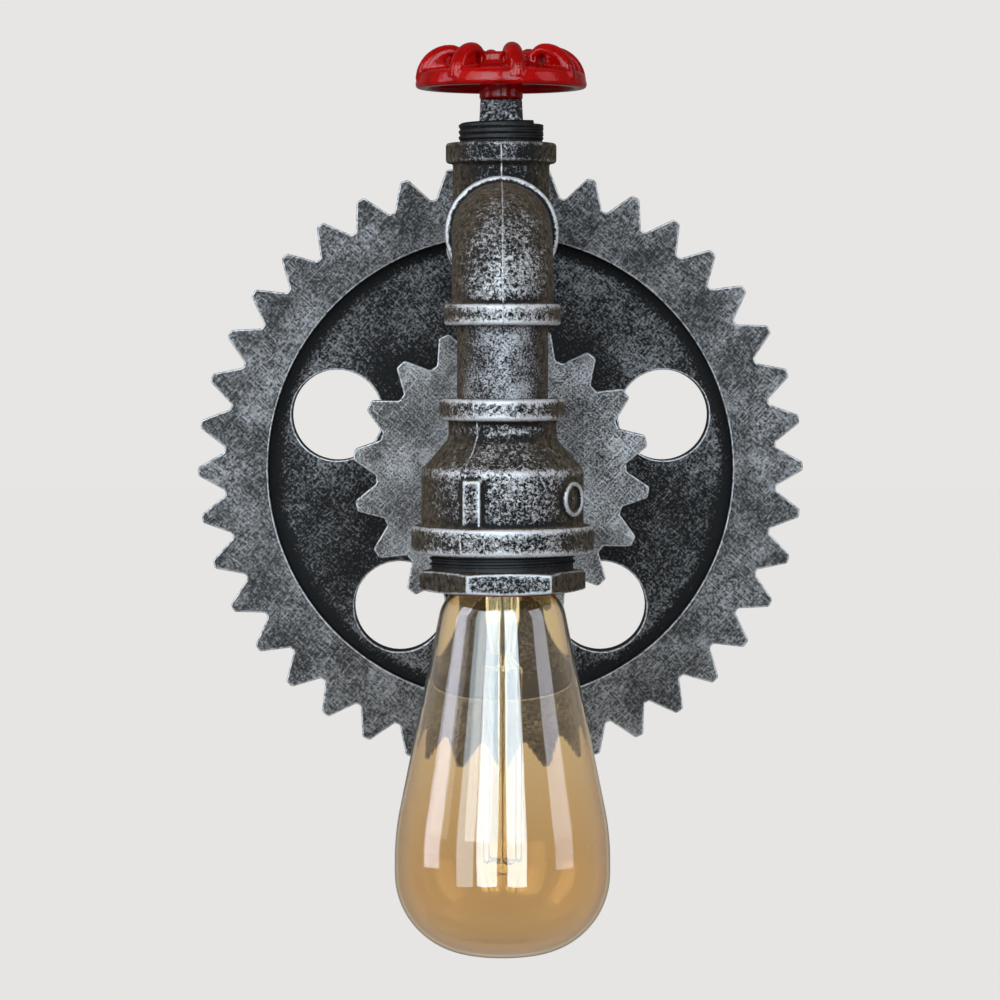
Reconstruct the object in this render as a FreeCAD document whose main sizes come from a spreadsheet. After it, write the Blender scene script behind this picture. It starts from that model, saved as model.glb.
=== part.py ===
import FreeCAD, Part
import math
import os
from types import SimpleNamespace

import Sketcher

Vector = FreeCAD.Vector
Rotation = FreeCAD.Rotation

# Driving dimensions, in millimetres and degrees. The light hangs on a wall in the plane Y = 0, faces -Y and
# has its origin between its two wall screws. "Ahead" means away from the wall.
SIZES = {
    # gaps shared by every joint of the assembly
    "thread_gap": 0.05,
    "running_gap": 0.1,
    "slack": 0.3,
    # wall plate: a round steel cup on a strap
    "canopy_radius": 37.0,
    "canopy_depth": 22.0,
    "canopy_wall": 1.2,
    "canopy_edge_round": 2.0,
    "strap_thickness": 1.6,
    "strap_width": 14.0,
    "strap_tab_reach": 14.0,
    "wall_slot_spacing": 50.0,
    "wall_slot_length": 8.0,
    "wall_slot_radius": 2.2,
    "side_screw_ahead": 10.0,
    "side_screw_head": 2.6,
    "ground_screw_across": 15.7,
    "gear_screw_circle": 26.0,
    "gear_screw_bite": 8.0,
    "gear_screw_count": 3,
    "small_screw_radius": 2.0,
    "small_screw_head_radius": 3.4,
    "small_screw_head": 2.2,
    "screw_slot_width": 0.8,
    "screw_slot_depth": 1.0,
    # terminal block in the wall plate
    "block_length": 24.0,
    "block_height": 11.0,
    "block_depth": 9.0,
    "pole_pitch": 8.0,
    "pole_count": 3,
    "pole_screw_radius": 1.7,
    "pole_screw_length": 3.0,
    "wire_hole_depth": 4.0,
    # threaded hollow rod that clamps the pipe work, the gear and the wall plate together
    "rod_rim_gap": 3.85,
    "rod_radius": 5.0,
    "rod_bore": 3.75,
    "rod_nut_flats": 14.0,
    "rod_nut_height": 4.0,
    "rod_washer_radius": 8.5,
    "rod_washer_height": 1.2,
    "rod_spare": 1.5,
    # large gear wheel
    "gear_bolt_gap": 5.0,
    "gear_thickness": 18.0,
    "gear_recess": 6.5,
    "gear_tip_radius": 96.7,
    "gear_tooth_height": 8.4,
    "gear_rim_width": 14.0,
    "gear_teeth": 40,
    "gear_tooth_tip": 2.6,
    "gear_valley": 1.9,
    "gear_tooth_round": 1.1,
    "gear_phase": 0.5,
    "gear_hole_radius": 14.6,
    "gear_hole_margin": 4.6,
    "gear_hole_step": 72.0,
    "gear_hole_count": 4,
    # small gear wheel on its spacer and centre bolt
    "pinion_tip_radius": 45.9,
    "pinion_tooth_height": 7.2,
    "pinion_thickness": 8.0,
    "pinion_teeth": 18,
    "pinion_tooth_tip": 3.4,
    "pinion_valley": 2.9,
    "pinion_tooth_round": 1.2,
    "pinion_phase": 2.7,
    "spacer_length": 38.5,
    "spacer_radius": 8.0,
    "bolt_radius": 4.0,
    "bolt_flats": 13.0,
    "bolt_head": 5.3,
    "bolt_nut_height": 6.5,
    "bolt_washer_radius": 8.0,
    "bolt_washer_height": 1.6,
    "bolt_spare": 1.5,
    # three quarter inch pipe and its cast fittings
    "pipe_radius": 13.45,
    "pipe_thread_radius": 13.2,
    "pipe_bore": 10.8,
    "thread_bite": 12.0,
    "socket_spare": 1.5,
    "fitting_band_radius": 17.2,
    "fitting_band_length": 6.3,
    "fitting_radius": 15.0,
    "fitting_passage": 11.6,
    "fitting_round": 0.9,
    "tee_reach": 28.8,
    "front_gap": 3.6,
    "elbow_reach": 27.8,
    "elbow_bend": 20.0,
    "nipple_exposed": 21.5,
    # plug with a square head, on top of the tee
    "plug_ridge_pitch": 1.814,
    "plug_ridges": 3,
    "plug_ridge_depth": 0.75,
    "plug_square": 13.6,
    "plug_square_height": 7.6,
    "plug_square_taper": 3.0,
    # hand wheel
    "wheel_hub_radius": 6.75,
    "wheel_hub_drop": 3.35,
    "wheel_radius": 27.0,
    "wheel_rim_height": 4.9,
    "wheel_rim_width": 4.6,
    "wheel_skirt_hollow": 1.7,
    "wheel_skirt_rise": 2.0,
    "wheel_skirt_round": 2.5,
    "wheel_boss_radius": 12.8,
    "wheel_boss_height": 10.9,
    "wheel_lobes": 8,
    "wheel_lobe_bar": 2.6,
    "wheel_lobe_peak": 13.5,
    "wheel_lobe_inner_bend": 2.8,
    "wheel_lobe_web": 5.0,
    "wheel_lobe_hole": 1.7,
    "wheel_lobe_turn": 11.2,
    "wheel_screw_radius": 2.5,
    "wheel_screw_head_radius": 4.4,
    "wheel_screw_head": 2.2,
    "wheel_screw_bite": 10.0,
    "wheel_washer_radius": 5.2,
    "wheel_washer_height": 1.0,
    "wheel_sink_radius": 5.8,
    "wheel_sink_depth": 3.4,
    # bell reducer
    "reducer_wire_room": 3.7,
    "reducer_top_radius": 18.5,
    "reducer_top_length": 6.5,
    "reducer_neck_radius": 16.0,
    "reducer_neck_length": 5.4,
    "reducer_shoulder": 9.3,
    "reducer_shoulder_round": 3.2,
    "reducer_radius": 24.0,
    "reducer_wall": 4.4,
    "reducer_band_radius": 27.0,
    "reducer_band_length": 8.2,
    "reducer_round": 1.0,
    "reducer_rib_width": 5.6,
    "reducer_rib_height": 1.2,
    "reducer_rib_turn": -21.8,
    "reducer_rib_drop": 2.3,
    "reducer_ring_radius": 5.2,
    "reducer_ring_width": 1.4,
    "reducer_ring_height": 1.0,
    "reducer_ring_turn": 58.0,
    # hexagon bushing that clamps the lampholder
    "bushing_gap": 5.0,
    "bushing_thread_radius": 20.95,
    "bushing_thread_bite": 10.5,
    "bushing_bore": 17.75,
    "hex_flats": 43.0,
    "hex_height": 6.3,
    "hex_turn": 4.8,
    "hex_bevel": 0.45,
    "seal_wall": 0.8,
    "seal_proud": 0.6,
    # screw lampholder
    "holder_flange_radius": 20.4,
    "holder_flange_height": 4.0,
    "holder_skirt_radius": 17.2,
    "holder_lip": 0.6,
    "holder_body_radius": 18.6,
    "holder_body_height": 7.0,
    "holder_crown_radius": 12.0,
    "holder_crown_height": 7.0,
    "holder_floor": 5.9,
    "holder_shell_wall": 0.4,
    "holder_wire_across": 7.0,
    "holder_screw_across": 9.0,
    "holder_screw_radius": 1.5,
    "holder_screw_depth": 4.0,
    "tongue_width": 6.0,
    "tongue_thickness": 0.5,
    "tongue_length": 9.0,
    "tongue_lift": 1.8,
    # screw cap of the lamp
    "cap_radius": 13.15,
    "cap_groove_depth": 1.0,
    "cap_pitch": 3.629,
    "cap_turns": 5,
    "cap_wall": 0.35,
    "cap_cone": 1.4,
    "cap_skirt_length": 3.0,
    "cap_top_radius": 9.5,
    "insulator_height": 2.9,
    "insulator_radius": 8.4,
    "contact_radius": 4.6,
    "contact_height": 1.55,
    # glass bulb, measured down from the tip of its contact
    "bulb_length": 140.0,
    "bulb_radius": 32.0,
    "bulb_glass": 0.9,
    "bulb_neck_radius": 12.4,
    "bulb_neck_below": 1.2,
    "bulb_shoulder_radius": 18.2,
    "bulb_shoulder_below": 4.35,
    "bulb_widest_lift": 36.3,
    "bulb_knee_lift": 4.6,
    "bulb_flat": 5.4,
    "bulb_shoulder_round": 12.0,
    "bulb_neck_round": 2.0,
    "bulb_flank_round": 76.0,
    "bulb_knee_round": 24.0,
    "bulb_base_round": 50.0,
    # glass stem, supports and filament inside the bulb
    "stem_radius": 5.0,
    "stem_drop": 50.0,
    "stem_rod_radius": 1.3,
    "stem_rod_drop": 116.0,
    "filament_top_drop": 56.0,
    "filament_bottom_drop": 110.0,
    "filament_circle": 5.6,
    "filament_loops": 4,
    "filament_radius": 0.2,
    "support_wire_radius": 0.25,
    "support_collar_height": 1.6,
    "support_collar_wall": 0.6,
    "support_spare": 0.5,
    "lead_circle": 2.6,
    "lead_bend": 0.8,
    # insulated wires from the terminal block to the lampholder
    "wire_radius": 1.0,
    "wire_across": 1.9,
    "wire_turn_radius": 6.0,
    "wire_ahead": 6.5,
    "wire_spread_radius": 10.0,
}

os.makedirs("parts", exist_ok=True)
doc = FreeCAD.newDocument("pipe_wall_light")
sheet = doc.addObject("Spreadsheet::Sheet", "sizes")
for row, (name, number) in enumerate(SIZES.items(), start=1):
    sheet.set("A%d" % row, name)
    sheet.set("B%d" % row, str(number))
    sheet.setAlias("B%d" % row, name)
doc.recompute()


class Size:
    """A length or an angle, as its value and as the expression on the sheet that drives it."""

    def __init__(self, value, text):
        self.value = value
        self.text = text

    def __add__(self, other):
        other = as_size(other)
        return Size(self.value + other.value, "(%s + %s)" % (self.text, other.text))

    def __radd__(self, other):
        return as_size(other) + self

    def __sub__(self, other):
        other = as_size(other)
        return Size(self.value - other.value, "(%s - %s)" % (self.text, other.text))

    def __rsub__(self, other):
        return as_size(other) - self

    def __mul__(self, other):
        other = as_size(other)
        return Size(self.value * other.value, "(%s * %s)" % (self.text, other.text))

    def __rmul__(self, other):
        return as_size(other) * self

    def __truediv__(self, other):
        other = as_size(other)
        return Size(self.value / other.value, "(%s / %s)" % (self.text, other.text))

    def __neg__(self):
        return Size(-self.value, "(-1 * %s)" % self.text)


def as_size(number):
    if isinstance(number, Size):
        return number
    return Size(float(number), "(%.9f)" % number)


def cosine(angle):
    return Size(math.cos(math.radians(angle.value)), "cos(%s)" % angle.text)


def sine(angle):
    return Size(math.sin(math.radians(angle.value)), "sin(%s)" % angle.text)


def square_root(size):
    return Size(math.sqrt(size.value), "sqrt(%s)" % size.text)


S = SimpleNamespace(**{name: Size(float(getattr(sheet, name)), "<<sizes>>." + name) for name in SIZES})

# Places that follow from the chain of pieces: distances ahead of the wall, then heights over the origin.
canopy_inner = S.canopy_radius - S.canopy_wall
canopy_plate = S.canopy_depth - S.canopy_wall
pipe_height = canopy_inner - S.rod_washer_radius - S.rod_rim_gap
gear_root_radius = S.gear_tip_radius - S.gear_tooth_height
gear_drop = S.canopy_radius + S.bolt_washer_radius + S.gear_bolt_gap
gear_face = S.canopy_depth + S.gear_thickness
web_face = gear_face - S.gear_recess
pinion_back = web_face + S.spacer_length
pinion_face = pinion_back + S.pinion_thickness
tee_centre = gear_face + S.tee_reach
tee_front = tee_centre + S.tee_reach
elbow_back = tee_front + S.front_gap
drop_axis = elbow_back + S.elbow_reach

tee_top = pipe_height + S.tee_reach
plug_top = tee_top + S.plug_ridges * S.plug_ridge_pitch + S.slack
square_top = plug_top + S.plug_square_height
wheel_bottom = square_top + S.running_gap
elbow_bottom = pipe_height - S.elbow_reach
reducer_top = elbow_bottom - S.nipple_exposed
socket_depth = S.thread_bite + S.socket_spare
holder_height = S.holder_flange_height + S.holder_body_height + S.holder_crown_height
reducer_bottom = reducer_top - socket_depth - S.reducer_wire_room - holder_height - S.bushing_thread_bite
hex_top = reducer_bottom - S.bushing_gap
hex_bottom = hex_top - S.hex_height
flange_bottom = reducer_bottom + S.bushing_thread_bite
flange_top = flange_bottom + S.holder_flange_height
crown_bottom = flange_top + S.holder_body_height
holder_top = crown_bottom + S.holder_crown_height
cavity_top = holder_top - S.holder_floor
bulb_tip = cavity_top - S.tongue_lift - S.tongue_thickness - S.slack
cap_top = bulb_tip - S.contact_height - S.insulator_height
cap_thread_bottom = cap_top - S.cap_cone - S.cap_turns * S.cap_pitch
cap_bottom = cap_thread_bottom - S.cap_skirt_length
holder_low = cap_thread_bottom - S.holder_lip

socket_radius = S.pipe_thread_radius + S.thread_gap
shell_radius = S.cap_radius + S.slack + S.cap_groove_depth + S.holder_shell_wall

UPRIGHT = Rotation()
FORWARD = Rotation(Vector(1, 0, 0), 90)
RUN_FORWARD = Rotation(Vector(0, 0, 1), -90)
RUN_BACK = Rotation(Vector(0, 0, 1), 90)


def new_body(label):
    body = doc.addObject("PartDesign::Body", label)
    body.Label = label
    return body


def place(item, x=0, ahead=0, height=0, rotation=UPRIGHT):
    """Put a sub-part at x, so far ahead of the wall and so high over the origin."""
    spot = [as_size(x), -as_size(ahead), as_size(height)]
    item.Placement = FreeCAD.Placement(Vector(*[part.value for part in spot]), rotation)
    for axis, part in zip("xyz", spot):
        item.setExpression("Placement.Base." + axis, part.text)


def origin_feature(body, role):
    return next(item for item in body.Origin.OriginFeatures if item.Role == role)


def new_sketch(body, plane="XY_Plane", offset=None, turn=None, swing=None):
    """A sketch on one of the body's own planes, moved along the plane's normal, turned in the plane, or swung
    about the plane's upright line."""
    sketch = body.newObject("Sketcher::SketchObject", "Sketch")
    sketch.AttachmentSupport = [(origin_feature(body, plane), "")]
    sketch.MapMode = "FlatFace"
    if offset is not None:
        sketch.AttachmentOffset = FreeCAD.Placement(Vector(0, 0, offset.value), Rotation())
        sketch.setExpression("AttachmentOffset.Base.z", offset.text)
    if turn is not None:
        turned = Rotation(Vector(0, 0, 1), turn.value)
        sketch.AttachmentOffset = FreeCAD.Placement(sketch.AttachmentOffset.Base, turned)
        sketch.setExpression("AttachmentOffset.Rotation.Angle", turn.text)
    if swing is not None:
        sketch.AttachmentOffset = FreeCAD.Placement(Vector(), Rotation(Vector(0, 1, 0), swing.value))
        sketch.setExpression("AttachmentOffset.Rotation.Angle", swing.text)
    return sketch


def pin_point(sketch, geometry, end, x, y):
    """Tie a sketch point to its two coordinates from the sheet."""
    for kind, part, axis in (("DistanceX", as_size(x), -2), ("DistanceY", as_size(y), -1)):
        if abs(part.value) < 1e-9:
            sketch.addConstraint(Sketcher.Constraint("PointOnObject", geometry, end, axis))
        else:
            index = sketch.addConstraint(Sketcher.Constraint(kind, -1, 1, geometry, end, part.value))
            sketch.setExpression("Constraints[%d]" % index, part.text)


def add_radius(sketch, geometry, radius):
    index = sketch.addConstraint(Sketcher.Constraint("Radius", geometry, radius.value))
    sketch.setExpression("Constraints[%d]" % index, radius.text)


def add_circle(sketch, x, y, radius):
    x, y, radius = as_size(x), as_size(y), as_size(radius)
    circle = Part.Circle(Vector(x.value, y.value, 0), Vector(0, 0, 1), radius.value)
    geometry = sketch.addGeometry(circle, False)
    if abs(x.value) < 1e-9 and abs(y.value) < 1e-9:
        sketch.addConstraint(Sketcher.Constraint("Coincident", geometry, 3, -1, 1))
    else:
        pin_point(sketch, geometry, 3, x, y)
    add_radius(sketch, geometry, radius)


def corner_arc(before, corner, after, radius):
    """The arc that rounds a corner, with its two tangent points and whether it turns left."""
    back = (before - corner).normalize()
    on = (after - corner).normalize()
    half = back.getAngle(on) / 2
    reach = radius / math.tan(half)
    start = corner + back * reach
    end = corner + on * reach
    centre = corner + (back + on).normalize() * (radius / math.sin(half))
    left = (corner - before).cross(after - corner).z > 0
    first, last = (start, end) if left else (end, start)
    angles = [math.atan2(point.y - centre.y, point.x - centre.x) for point in (first, last)]
    if angles[1] < angles[0]:
        angles[1] += 2 * math.pi
    circle = Part.Circle(centre, Vector(0, 0, 1), radius)
    return Part.ArcOfCircle(circle, angles[0], angles[1]), start, end, left


def add_outline(sketch, corners):
    """Draw a closed outline of straight sides through corners (x, y) and rounded corners (x, y, radius)."""
    corners = [tuple(as_size(part) for part in corner) for corner in corners]
    points = [Vector(corner[0].value, corner[1].value, 0) for corner in corners]
    count = len(corners)
    arcs = {}
    for i, corner in enumerate(corners):
        if len(corner) == 3:
            arcs[i] = corner_arc(points[i - 1], points[i], points[(i + 1) % count], corner[2].value)
    sides = []
    for i in range(count):
        after = (i + 1) % count
        start = arcs[i][2] if i in arcs else points[i]
        end = arcs[after][1] if after in arcs else points[after]
        sides.append(sketch.addGeometry(Part.LineSegment(start, end), False))
    for i, corner in enumerate(corners):
        before, after = sides[i - 1], sides[i]
        if i not in arcs:
            sketch.addConstraint(Sketcher.Constraint("Coincident", before, 2, after, 1))
            pin_point(sketch, after, 1, corner[0], corner[1])
            continue
        left = arcs[i][3]
        bend = sketch.addGeometry(arcs[i][0], False)
        mark = sketch.addGeometry(Part.Point(points[i]), True)
        pin_point(sketch, mark, 1, corner[0], corner[1])
        sketch.addConstraint(Sketcher.Constraint("PointOnObject", mark, 1, before))
        sketch.addConstraint(Sketcher.Constraint("PointOnObject", mark, 1, after))
        sketch.addConstraint(Sketcher.Constraint("Tangent", before, 2, bend, 1 if left else 2))
        sketch.addConstraint(Sketcher.Constraint("Tangent", after, 1, bend, 2 if left else 1))
        add_radius(sketch, bend, corner[2])


def add_rectangle(sketch, left, right, bottom, top):
    add_outline(sketch, [(left, bottom), (right, bottom), (right, top), (left, top)])


def add_hexagon(sketch, flats):
    """A hexagon of this width across its flats, with two flats level."""
    corner = flats / math.sqrt(3)
    add_outline(sketch, [(corner * math.cos(math.radians(60 * k)), corner * math.sin(math.radians(60 * k)))
                         if k % 3 else (corner if k == 0 else -corner, 0) for k in range(6)])


def set_last(body, feature):
    body.Tip = feature
    return feature


def extrude(body, sketch, length, kind="PartDesign::Pad", both_ways=False, taper=None):
    feature = body.newObject(kind, kind.split("::")[1])
    feature.Profile = sketch
    feature.Length = length.value
    feature.setExpression("Length", length.text)
    if both_ways:
        feature.SideType = "Symmetric"
    if taper is not None:
        feature.TaperAngle = taper.value
        feature.setExpression("TaperAngle", taper.text)
    return set_last(body, feature)


def cut(body, sketch, length, both_ways=False, forward=False):
    """Cut a sketch's outline out of the solid: behind the sketch, ahead of it, or both ways."""
    before = body_volume(body)
    feature = extrude(body, sketch, length, "PartDesign::Pocket", both_ways)
    feature.Reversed = forward
    check_cut(body, before)
    return feature


def turn_profile(body, sketch, axis, kind="PartDesign::Revolution"):
    feature = body.newObject(kind, kind.split("::")[1])
    feature.Profile = sketch
    feature.ReferenceAxis = (sketch, [axis])
    feature.Angle = 360
    return set_last(body, feature)


def body_volume(body):
    doc.recompute()
    return body.Shape.Volume


def check_cut(body, before):
    if not body_volume(body) < before - 1e-6:
        raise RuntimeError("a cut in %s removed nothing" % body.Label)


def revolve(body, corners, axis="V_Axis"):
    """Turn an outline in the body's upright XZ plane about its Z axis, or about its X axis with H_Axis."""
    sketch = new_sketch(body, "XZ_Plane")
    add_outline(sketch, corners)
    return turn_profile(body, sketch, axis)


def bore(body, corners, axis="V_Axis"):
    """Cut an outline, turned like revolve, out of the solid."""
    before = body_volume(body)
    sketch = new_sketch(body, "XZ_Plane")
    add_outline(sketch, corners)
    feature = turn_profile(body, sketch, axis, "PartDesign::Groove")
    check_cut(body, before)
    return feature


def repeat_round(body, features, count, angle=None):
    """Repeat features about the body's Z axis: all the way round, or over an angle."""
    pattern = body.newObject("PartDesign::PolarPattern", "PolarPattern")
    pattern.Originals = features
    pattern.Axis = (origin_feature(body, "Z_Axis"), [""])
    pattern.Angle = 360
    if angle is not None:
        pattern.Angle = angle.value
        pattern.setExpression("Angle", angle.text)
    pattern.Occurrences = int(count.value)
    pattern.setExpression("Occurrences", count.text)
    return set_last(body, pattern)


def mirror_sides(body, features):
    """Mirror features from right to left."""
    mirrored = body.newObject("PartDesign::Mirrored", "Mirrored")
    mirrored.Originals = features
    mirrored.MirrorPlane = (origin_feature(body, "YZ_Plane"), [""])
    return set_last(body, mirrored)


def ring(label, inner, outer, low, high, rotation=UPRIGHT, ahead=0, height=0):
    """A plain ring between two heights along its own axis, such as a washer, a spacer or a tube."""
    body = new_body(label)
    revolve(body, [(inner, low), (outer, low), (outer, high), (inner, high)])
    place(body, ahead=ahead, height=height, rotation=rotation)
    return body


def sweep(body, path_sketch, profile_sketch, kind="PartDesign::AdditivePipe"):
    feature = body.newObject(kind, kind.split("::")[1])
    feature.Profile = profile_sketch
    feature.Spine = (path_sketch, [])
    return set_last(body, feature)


# Wall plate

def make_wall_strap():
    """Steel strap that screws to the wall, with a bent tab at each end for the wall plate's side screws."""
    body = new_body("wall_strap")
    half_width = S.strap_width / 2
    reach = square_root(canopy_inner * canopy_inner - half_width * half_width) - S.slack
    bar = new_sketch(body)
    add_rectangle(bar, -reach, reach, -half_width, half_width)
    extrude(body, bar, S.strap_thickness)
    tabs = new_sketch(body)
    add_rectangle(tabs, reach - S.strap_thickness, reach, -half_width, half_width)
    tab = extrude(body, tabs, S.strap_tab_reach)
    mirror_sides(body, [tab])
    slot = new_sketch(body)
    add_slot(slot, S.wall_slot_spacing / 2, S.wall_slot_length, S.wall_slot_radius)
    slot_cut = cut(body, slot, S.strap_thickness, forward=True)
    mirror_sides(body, [slot_cut])
    threads = new_sketch(body, "YZ_Plane")
    add_circle(threads, 0, S.side_screw_ahead, S.small_screw_radius + S.thread_gap)
    cut(body, threads, 2 * S.canopy_radius, both_ways=True)
    earth = new_sketch(body)
    add_circle(earth, -S.ground_screw_across, 0, S.small_screw_radius + S.thread_gap)
    cut(body, earth, S.strap_thickness, forward=True)
    place(body, rotation=FORWARD)


def add_slot(sketch, x, length, radius):
    """A level slot with round ends, as long as this between the centres of its ends."""
    left, right = x - length / 2, x + length / 2
    ends = []
    for centre, start in ((left, math.pi / 2), (right, -math.pi / 2)):
        circle = Part.Circle(Vector(centre.value, 0, 0), Vector(0, 0, 1), radius.value)
        end = sketch.addGeometry(Part.ArcOfCircle(circle, start, start + math.pi), False)
        pin_point(sketch, end, 3, centre, 0)
        ends.append(end)
    add_radius(sketch, ends[0], radius)
    sketch.addConstraint(Sketcher.Constraint("Equal", ends[0], ends[1]))
    for side, first, last in ((1, 1, 2), (-1, 2, 1)):
        level = side * radius.value
        line = Part.LineSegment(Vector(left.value, level, 0), Vector(right.value, level, 0))
        edge = sketch.addGeometry(line, False)
        sketch.addConstraint(Sketcher.Constraint("Tangent", edge, 1, ends[0], first))
        sketch.addConstraint(Sketcher.Constraint("Tangent", edge, 2, ends[1], last))


def make_canopy():
    """Round steel cup against the wall, open at the back."""
    body = new_body("canopy")
    revolve(body, [
        (0, canopy_plate),
        (canopy_inner, canopy_plate, S.canopy_edge_round - S.canopy_wall),
        (canopy_inner, 0),
        (S.canopy_radius, 0),
        (S.canopy_radius, S.canopy_depth, S.canopy_edge_round),
        (0, S.canopy_depth),
    ])
    rod_hole = new_sketch(body, offset=S.canopy_depth)
    add_circle(rod_hole, 0, pipe_height, S.rod_radius + S.running_gap)
    cut(body, rod_hole, S.canopy_wall)
    screw_hole = new_sketch(body, offset=S.canopy_depth)
    add_circle(screw_hole, 0, -S.gear_screw_circle, S.small_screw_radius + S.running_gap)
    hole_cut = cut(body, screw_hole, S.canopy_wall)
    repeat_round(body, [hole_cut], S.gear_screw_count)
    side_hole = new_sketch(body, "YZ_Plane")
    add_circle(side_hole, 0, S.side_screw_ahead, S.small_screw_radius + S.running_gap)
    cut(body, side_hole, 3 * S.canopy_radius, both_ways=True)
    place(body, rotation=FORWARD)


def make_canopy_side_screws():
    """Two thumb screws through the wall plate's rim into the strap's tabs."""
    body = new_body("canopy_side_screws")
    half_width = S.strap_width / 2
    tab = square_root(canopy_inner * canopy_inner - half_width * half_width) - S.slack
    tip = tab - 2 * S.strap_thickness
    head_start = S.canopy_radius + S.thread_gap
    head_end = head_start + S.side_screw_head
    screw = new_sketch(body, "XZ_Plane")
    add_outline(screw, [
        (tip, 0),
        (tip, S.small_screw_radius),
        (head_start, S.small_screw_radius),
        (head_start, S.small_screw_head_radius),
        (head_end, S.small_screw_head_radius, S.side_screw_head / 3),
        (head_end, 0),
    ])
    turned = turn_profile(body, screw, "H_Axis")
    mirror_sides(body, [turned])
    place(body, ahead=S.side_screw_ahead)


def add_slotted_head(body, x, y, face, radius, depth, width):
    """A screwdriver slot across a screw head whose face is at this height."""
    slot = new_sketch(body, offset=face)
    add_rectangle(slot, x - radius, x + radius, y - width / 2, y + width / 2)
    return cut(body, slot, depth)


def make_canopy_gear_screws():
    """Screws from inside the wall plate into the back of the large gear."""
    body = new_body("canopy_gear_screws")
    head = new_sketch(body, offset=canopy_plate - S.small_screw_head)
    add_circle(head, 0, -S.gear_screw_circle, S.small_screw_head_radius)
    head_pad = extrude(body, head, S.small_screw_head)
    shank = new_sketch(body, offset=canopy_plate)
    add_circle(shank, 0, -S.gear_screw_circle, S.small_screw_radius)
    shank_pad = extrude(body, shank, S.canopy_wall + S.gear_screw_bite)
    repeat_round(body, [head_pad, shank_pad], S.gear_screw_count)
    place(body, rotation=FORWARD)


def make_ground_screw():
    """Earth screw in the strap."""
    body = new_body("ground_screw")
    seat = S.strap_thickness + 2 * S.wire_radius
    face = seat + S.small_screw_head
    revolve(body, [
        (0, S.slack),
        (S.small_screw_radius, S.slack),
        (S.small_screw_radius, seat),
        (S.small_screw_head_radius, seat),
        (S.small_screw_head_radius, face, S.small_screw_head / 3),
        (0, face),
    ])
    add_slotted_head(body, as_size(0), as_size(0), face, S.small_screw_head_radius,
                     S.screw_slot_depth, S.screw_slot_width)
    place(body, x=-S.ground_screw_across, rotation=FORWARD)


def make_terminal_block():
    """Insulating block on the strap: one through hole per pole, with a screw over it."""
    body = new_body("terminal_block")
    half_height = S.block_height / 2
    block = new_sketch(body, offset=S.strap_thickness)
    add_rectangle(block, -S.block_length / 2, S.block_length / 2, -half_height, half_height)
    extrude(body, block, S.block_depth)
    first = -S.pole_pitch * (S.pole_count - 1) / 2
    for pole in range(int(S.pole_count.value)):
        x = first + pole * S.pole_pitch
        hole = new_sketch(body, "XZ_Plane", offset=-half_height)
        add_circle(hole, x, S.wire_ahead, S.wire_radius + S.thread_gap)
        cut(body, hole, S.wire_hole_depth + S.thread_gap, forward=True)
        well = new_sketch(body, offset=S.strap_thickness + S.block_depth)
        add_circle(well, x, 0, S.pole_screw_radius + S.thread_gap)
        cut(body, well, S.pole_screw_length)
    place(body, rotation=FORWARD)


def make_terminal_screws():
    """One clamping screw per pole."""
    body = new_body("terminal_screws")
    first = -S.pole_pitch * (S.pole_count - 1) / 2
    face = S.strap_thickness + S.block_depth - S.slack
    low = face - S.pole_screw_length + 2 * S.slack
    for pole in range(int(S.pole_count.value)):
        x = first + pole * S.pole_pitch
        screw = new_sketch(body, offset=low)
        add_circle(screw, x, 0, S.pole_screw_radius)
        extrude(body, screw, face - low)
        add_slotted_head(body, x, as_size(0), face, S.pole_screw_radius, S.screw_slot_depth,
                         S.screw_slot_width)
    place(body, rotation=FORWARD)


# Hollow rod through wall plate, gear and tee

rod_back = canopy_plate - S.rod_washer_height - S.rod_nut_height - S.rod_spare
front_nut_back = gear_face + S.thread_bite
rod_front = front_nut_back + S.rod_nut_height + S.rod_spare


def make_hollow_rod():
    ring("hollow_rod", S.rod_bore, S.rod_radius, rod_back, rod_front, FORWARD, height=pipe_height)


def make_rod_washer():
    ring("rod_washer", S.rod_radius + S.running_gap, S.rod_washer_radius, canopy_plate - S.rod_washer_height,
         canopy_plate, FORWARD, height=pipe_height)


def make_rod_nuts():
    """The rod's two hexagon nuts: inside the wall plate and inside the tee."""
    body = new_body("rod_nuts")
    for back in (canopy_plate - S.rod_washer_height - S.rod_nut_height, front_nut_back):
        nut = new_sketch(body, offset=back)
        add_hexagon(nut, S.rod_nut_flats)
        add_circle(nut, 0, 0, S.rod_radius + S.thread_gap)
        extrude(body, nut, S.rod_nut_height)
    place(body, height=pipe_height, rotation=FORWARD)


def make_tee_end_plug():
    """Plug in the rear socket of the tee, threaded for the hollow rod."""
    ring("tee_end_plug", S.rod_radius + S.thread_gap, S.pipe_thread_radius, gear_face, front_nut_back,
         FORWARD, height=pipe_height)


# Gears

def add_teeth(body, root_radius, tip_radius, valley, tip, tip_round, teeth, phase, thickness):
    """Teeth on a disc of the root radius, the first one turned from upright by the phase."""
    base = root_radius * 2 * math.pi / teeth - valley
    foot = root_radius - tip_radius / 20
    slope = (base - tip) / (tip_radius - root_radius) / 2
    half_foot = base / 2 + slope * (root_radius - foot)
    tooth = new_sketch(body, turn=phase)
    add_outline(tooth, [
        (-half_foot, foot),
        (half_foot, foot),
        (tip / 2, tip_radius, tip_round),
        (-tip / 2, tip_radius, tip_round),
    ])
    tooth_pad = extrude(body, tooth, thickness)
    repeat_round(body, [tooth_pad], teeth)


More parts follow.
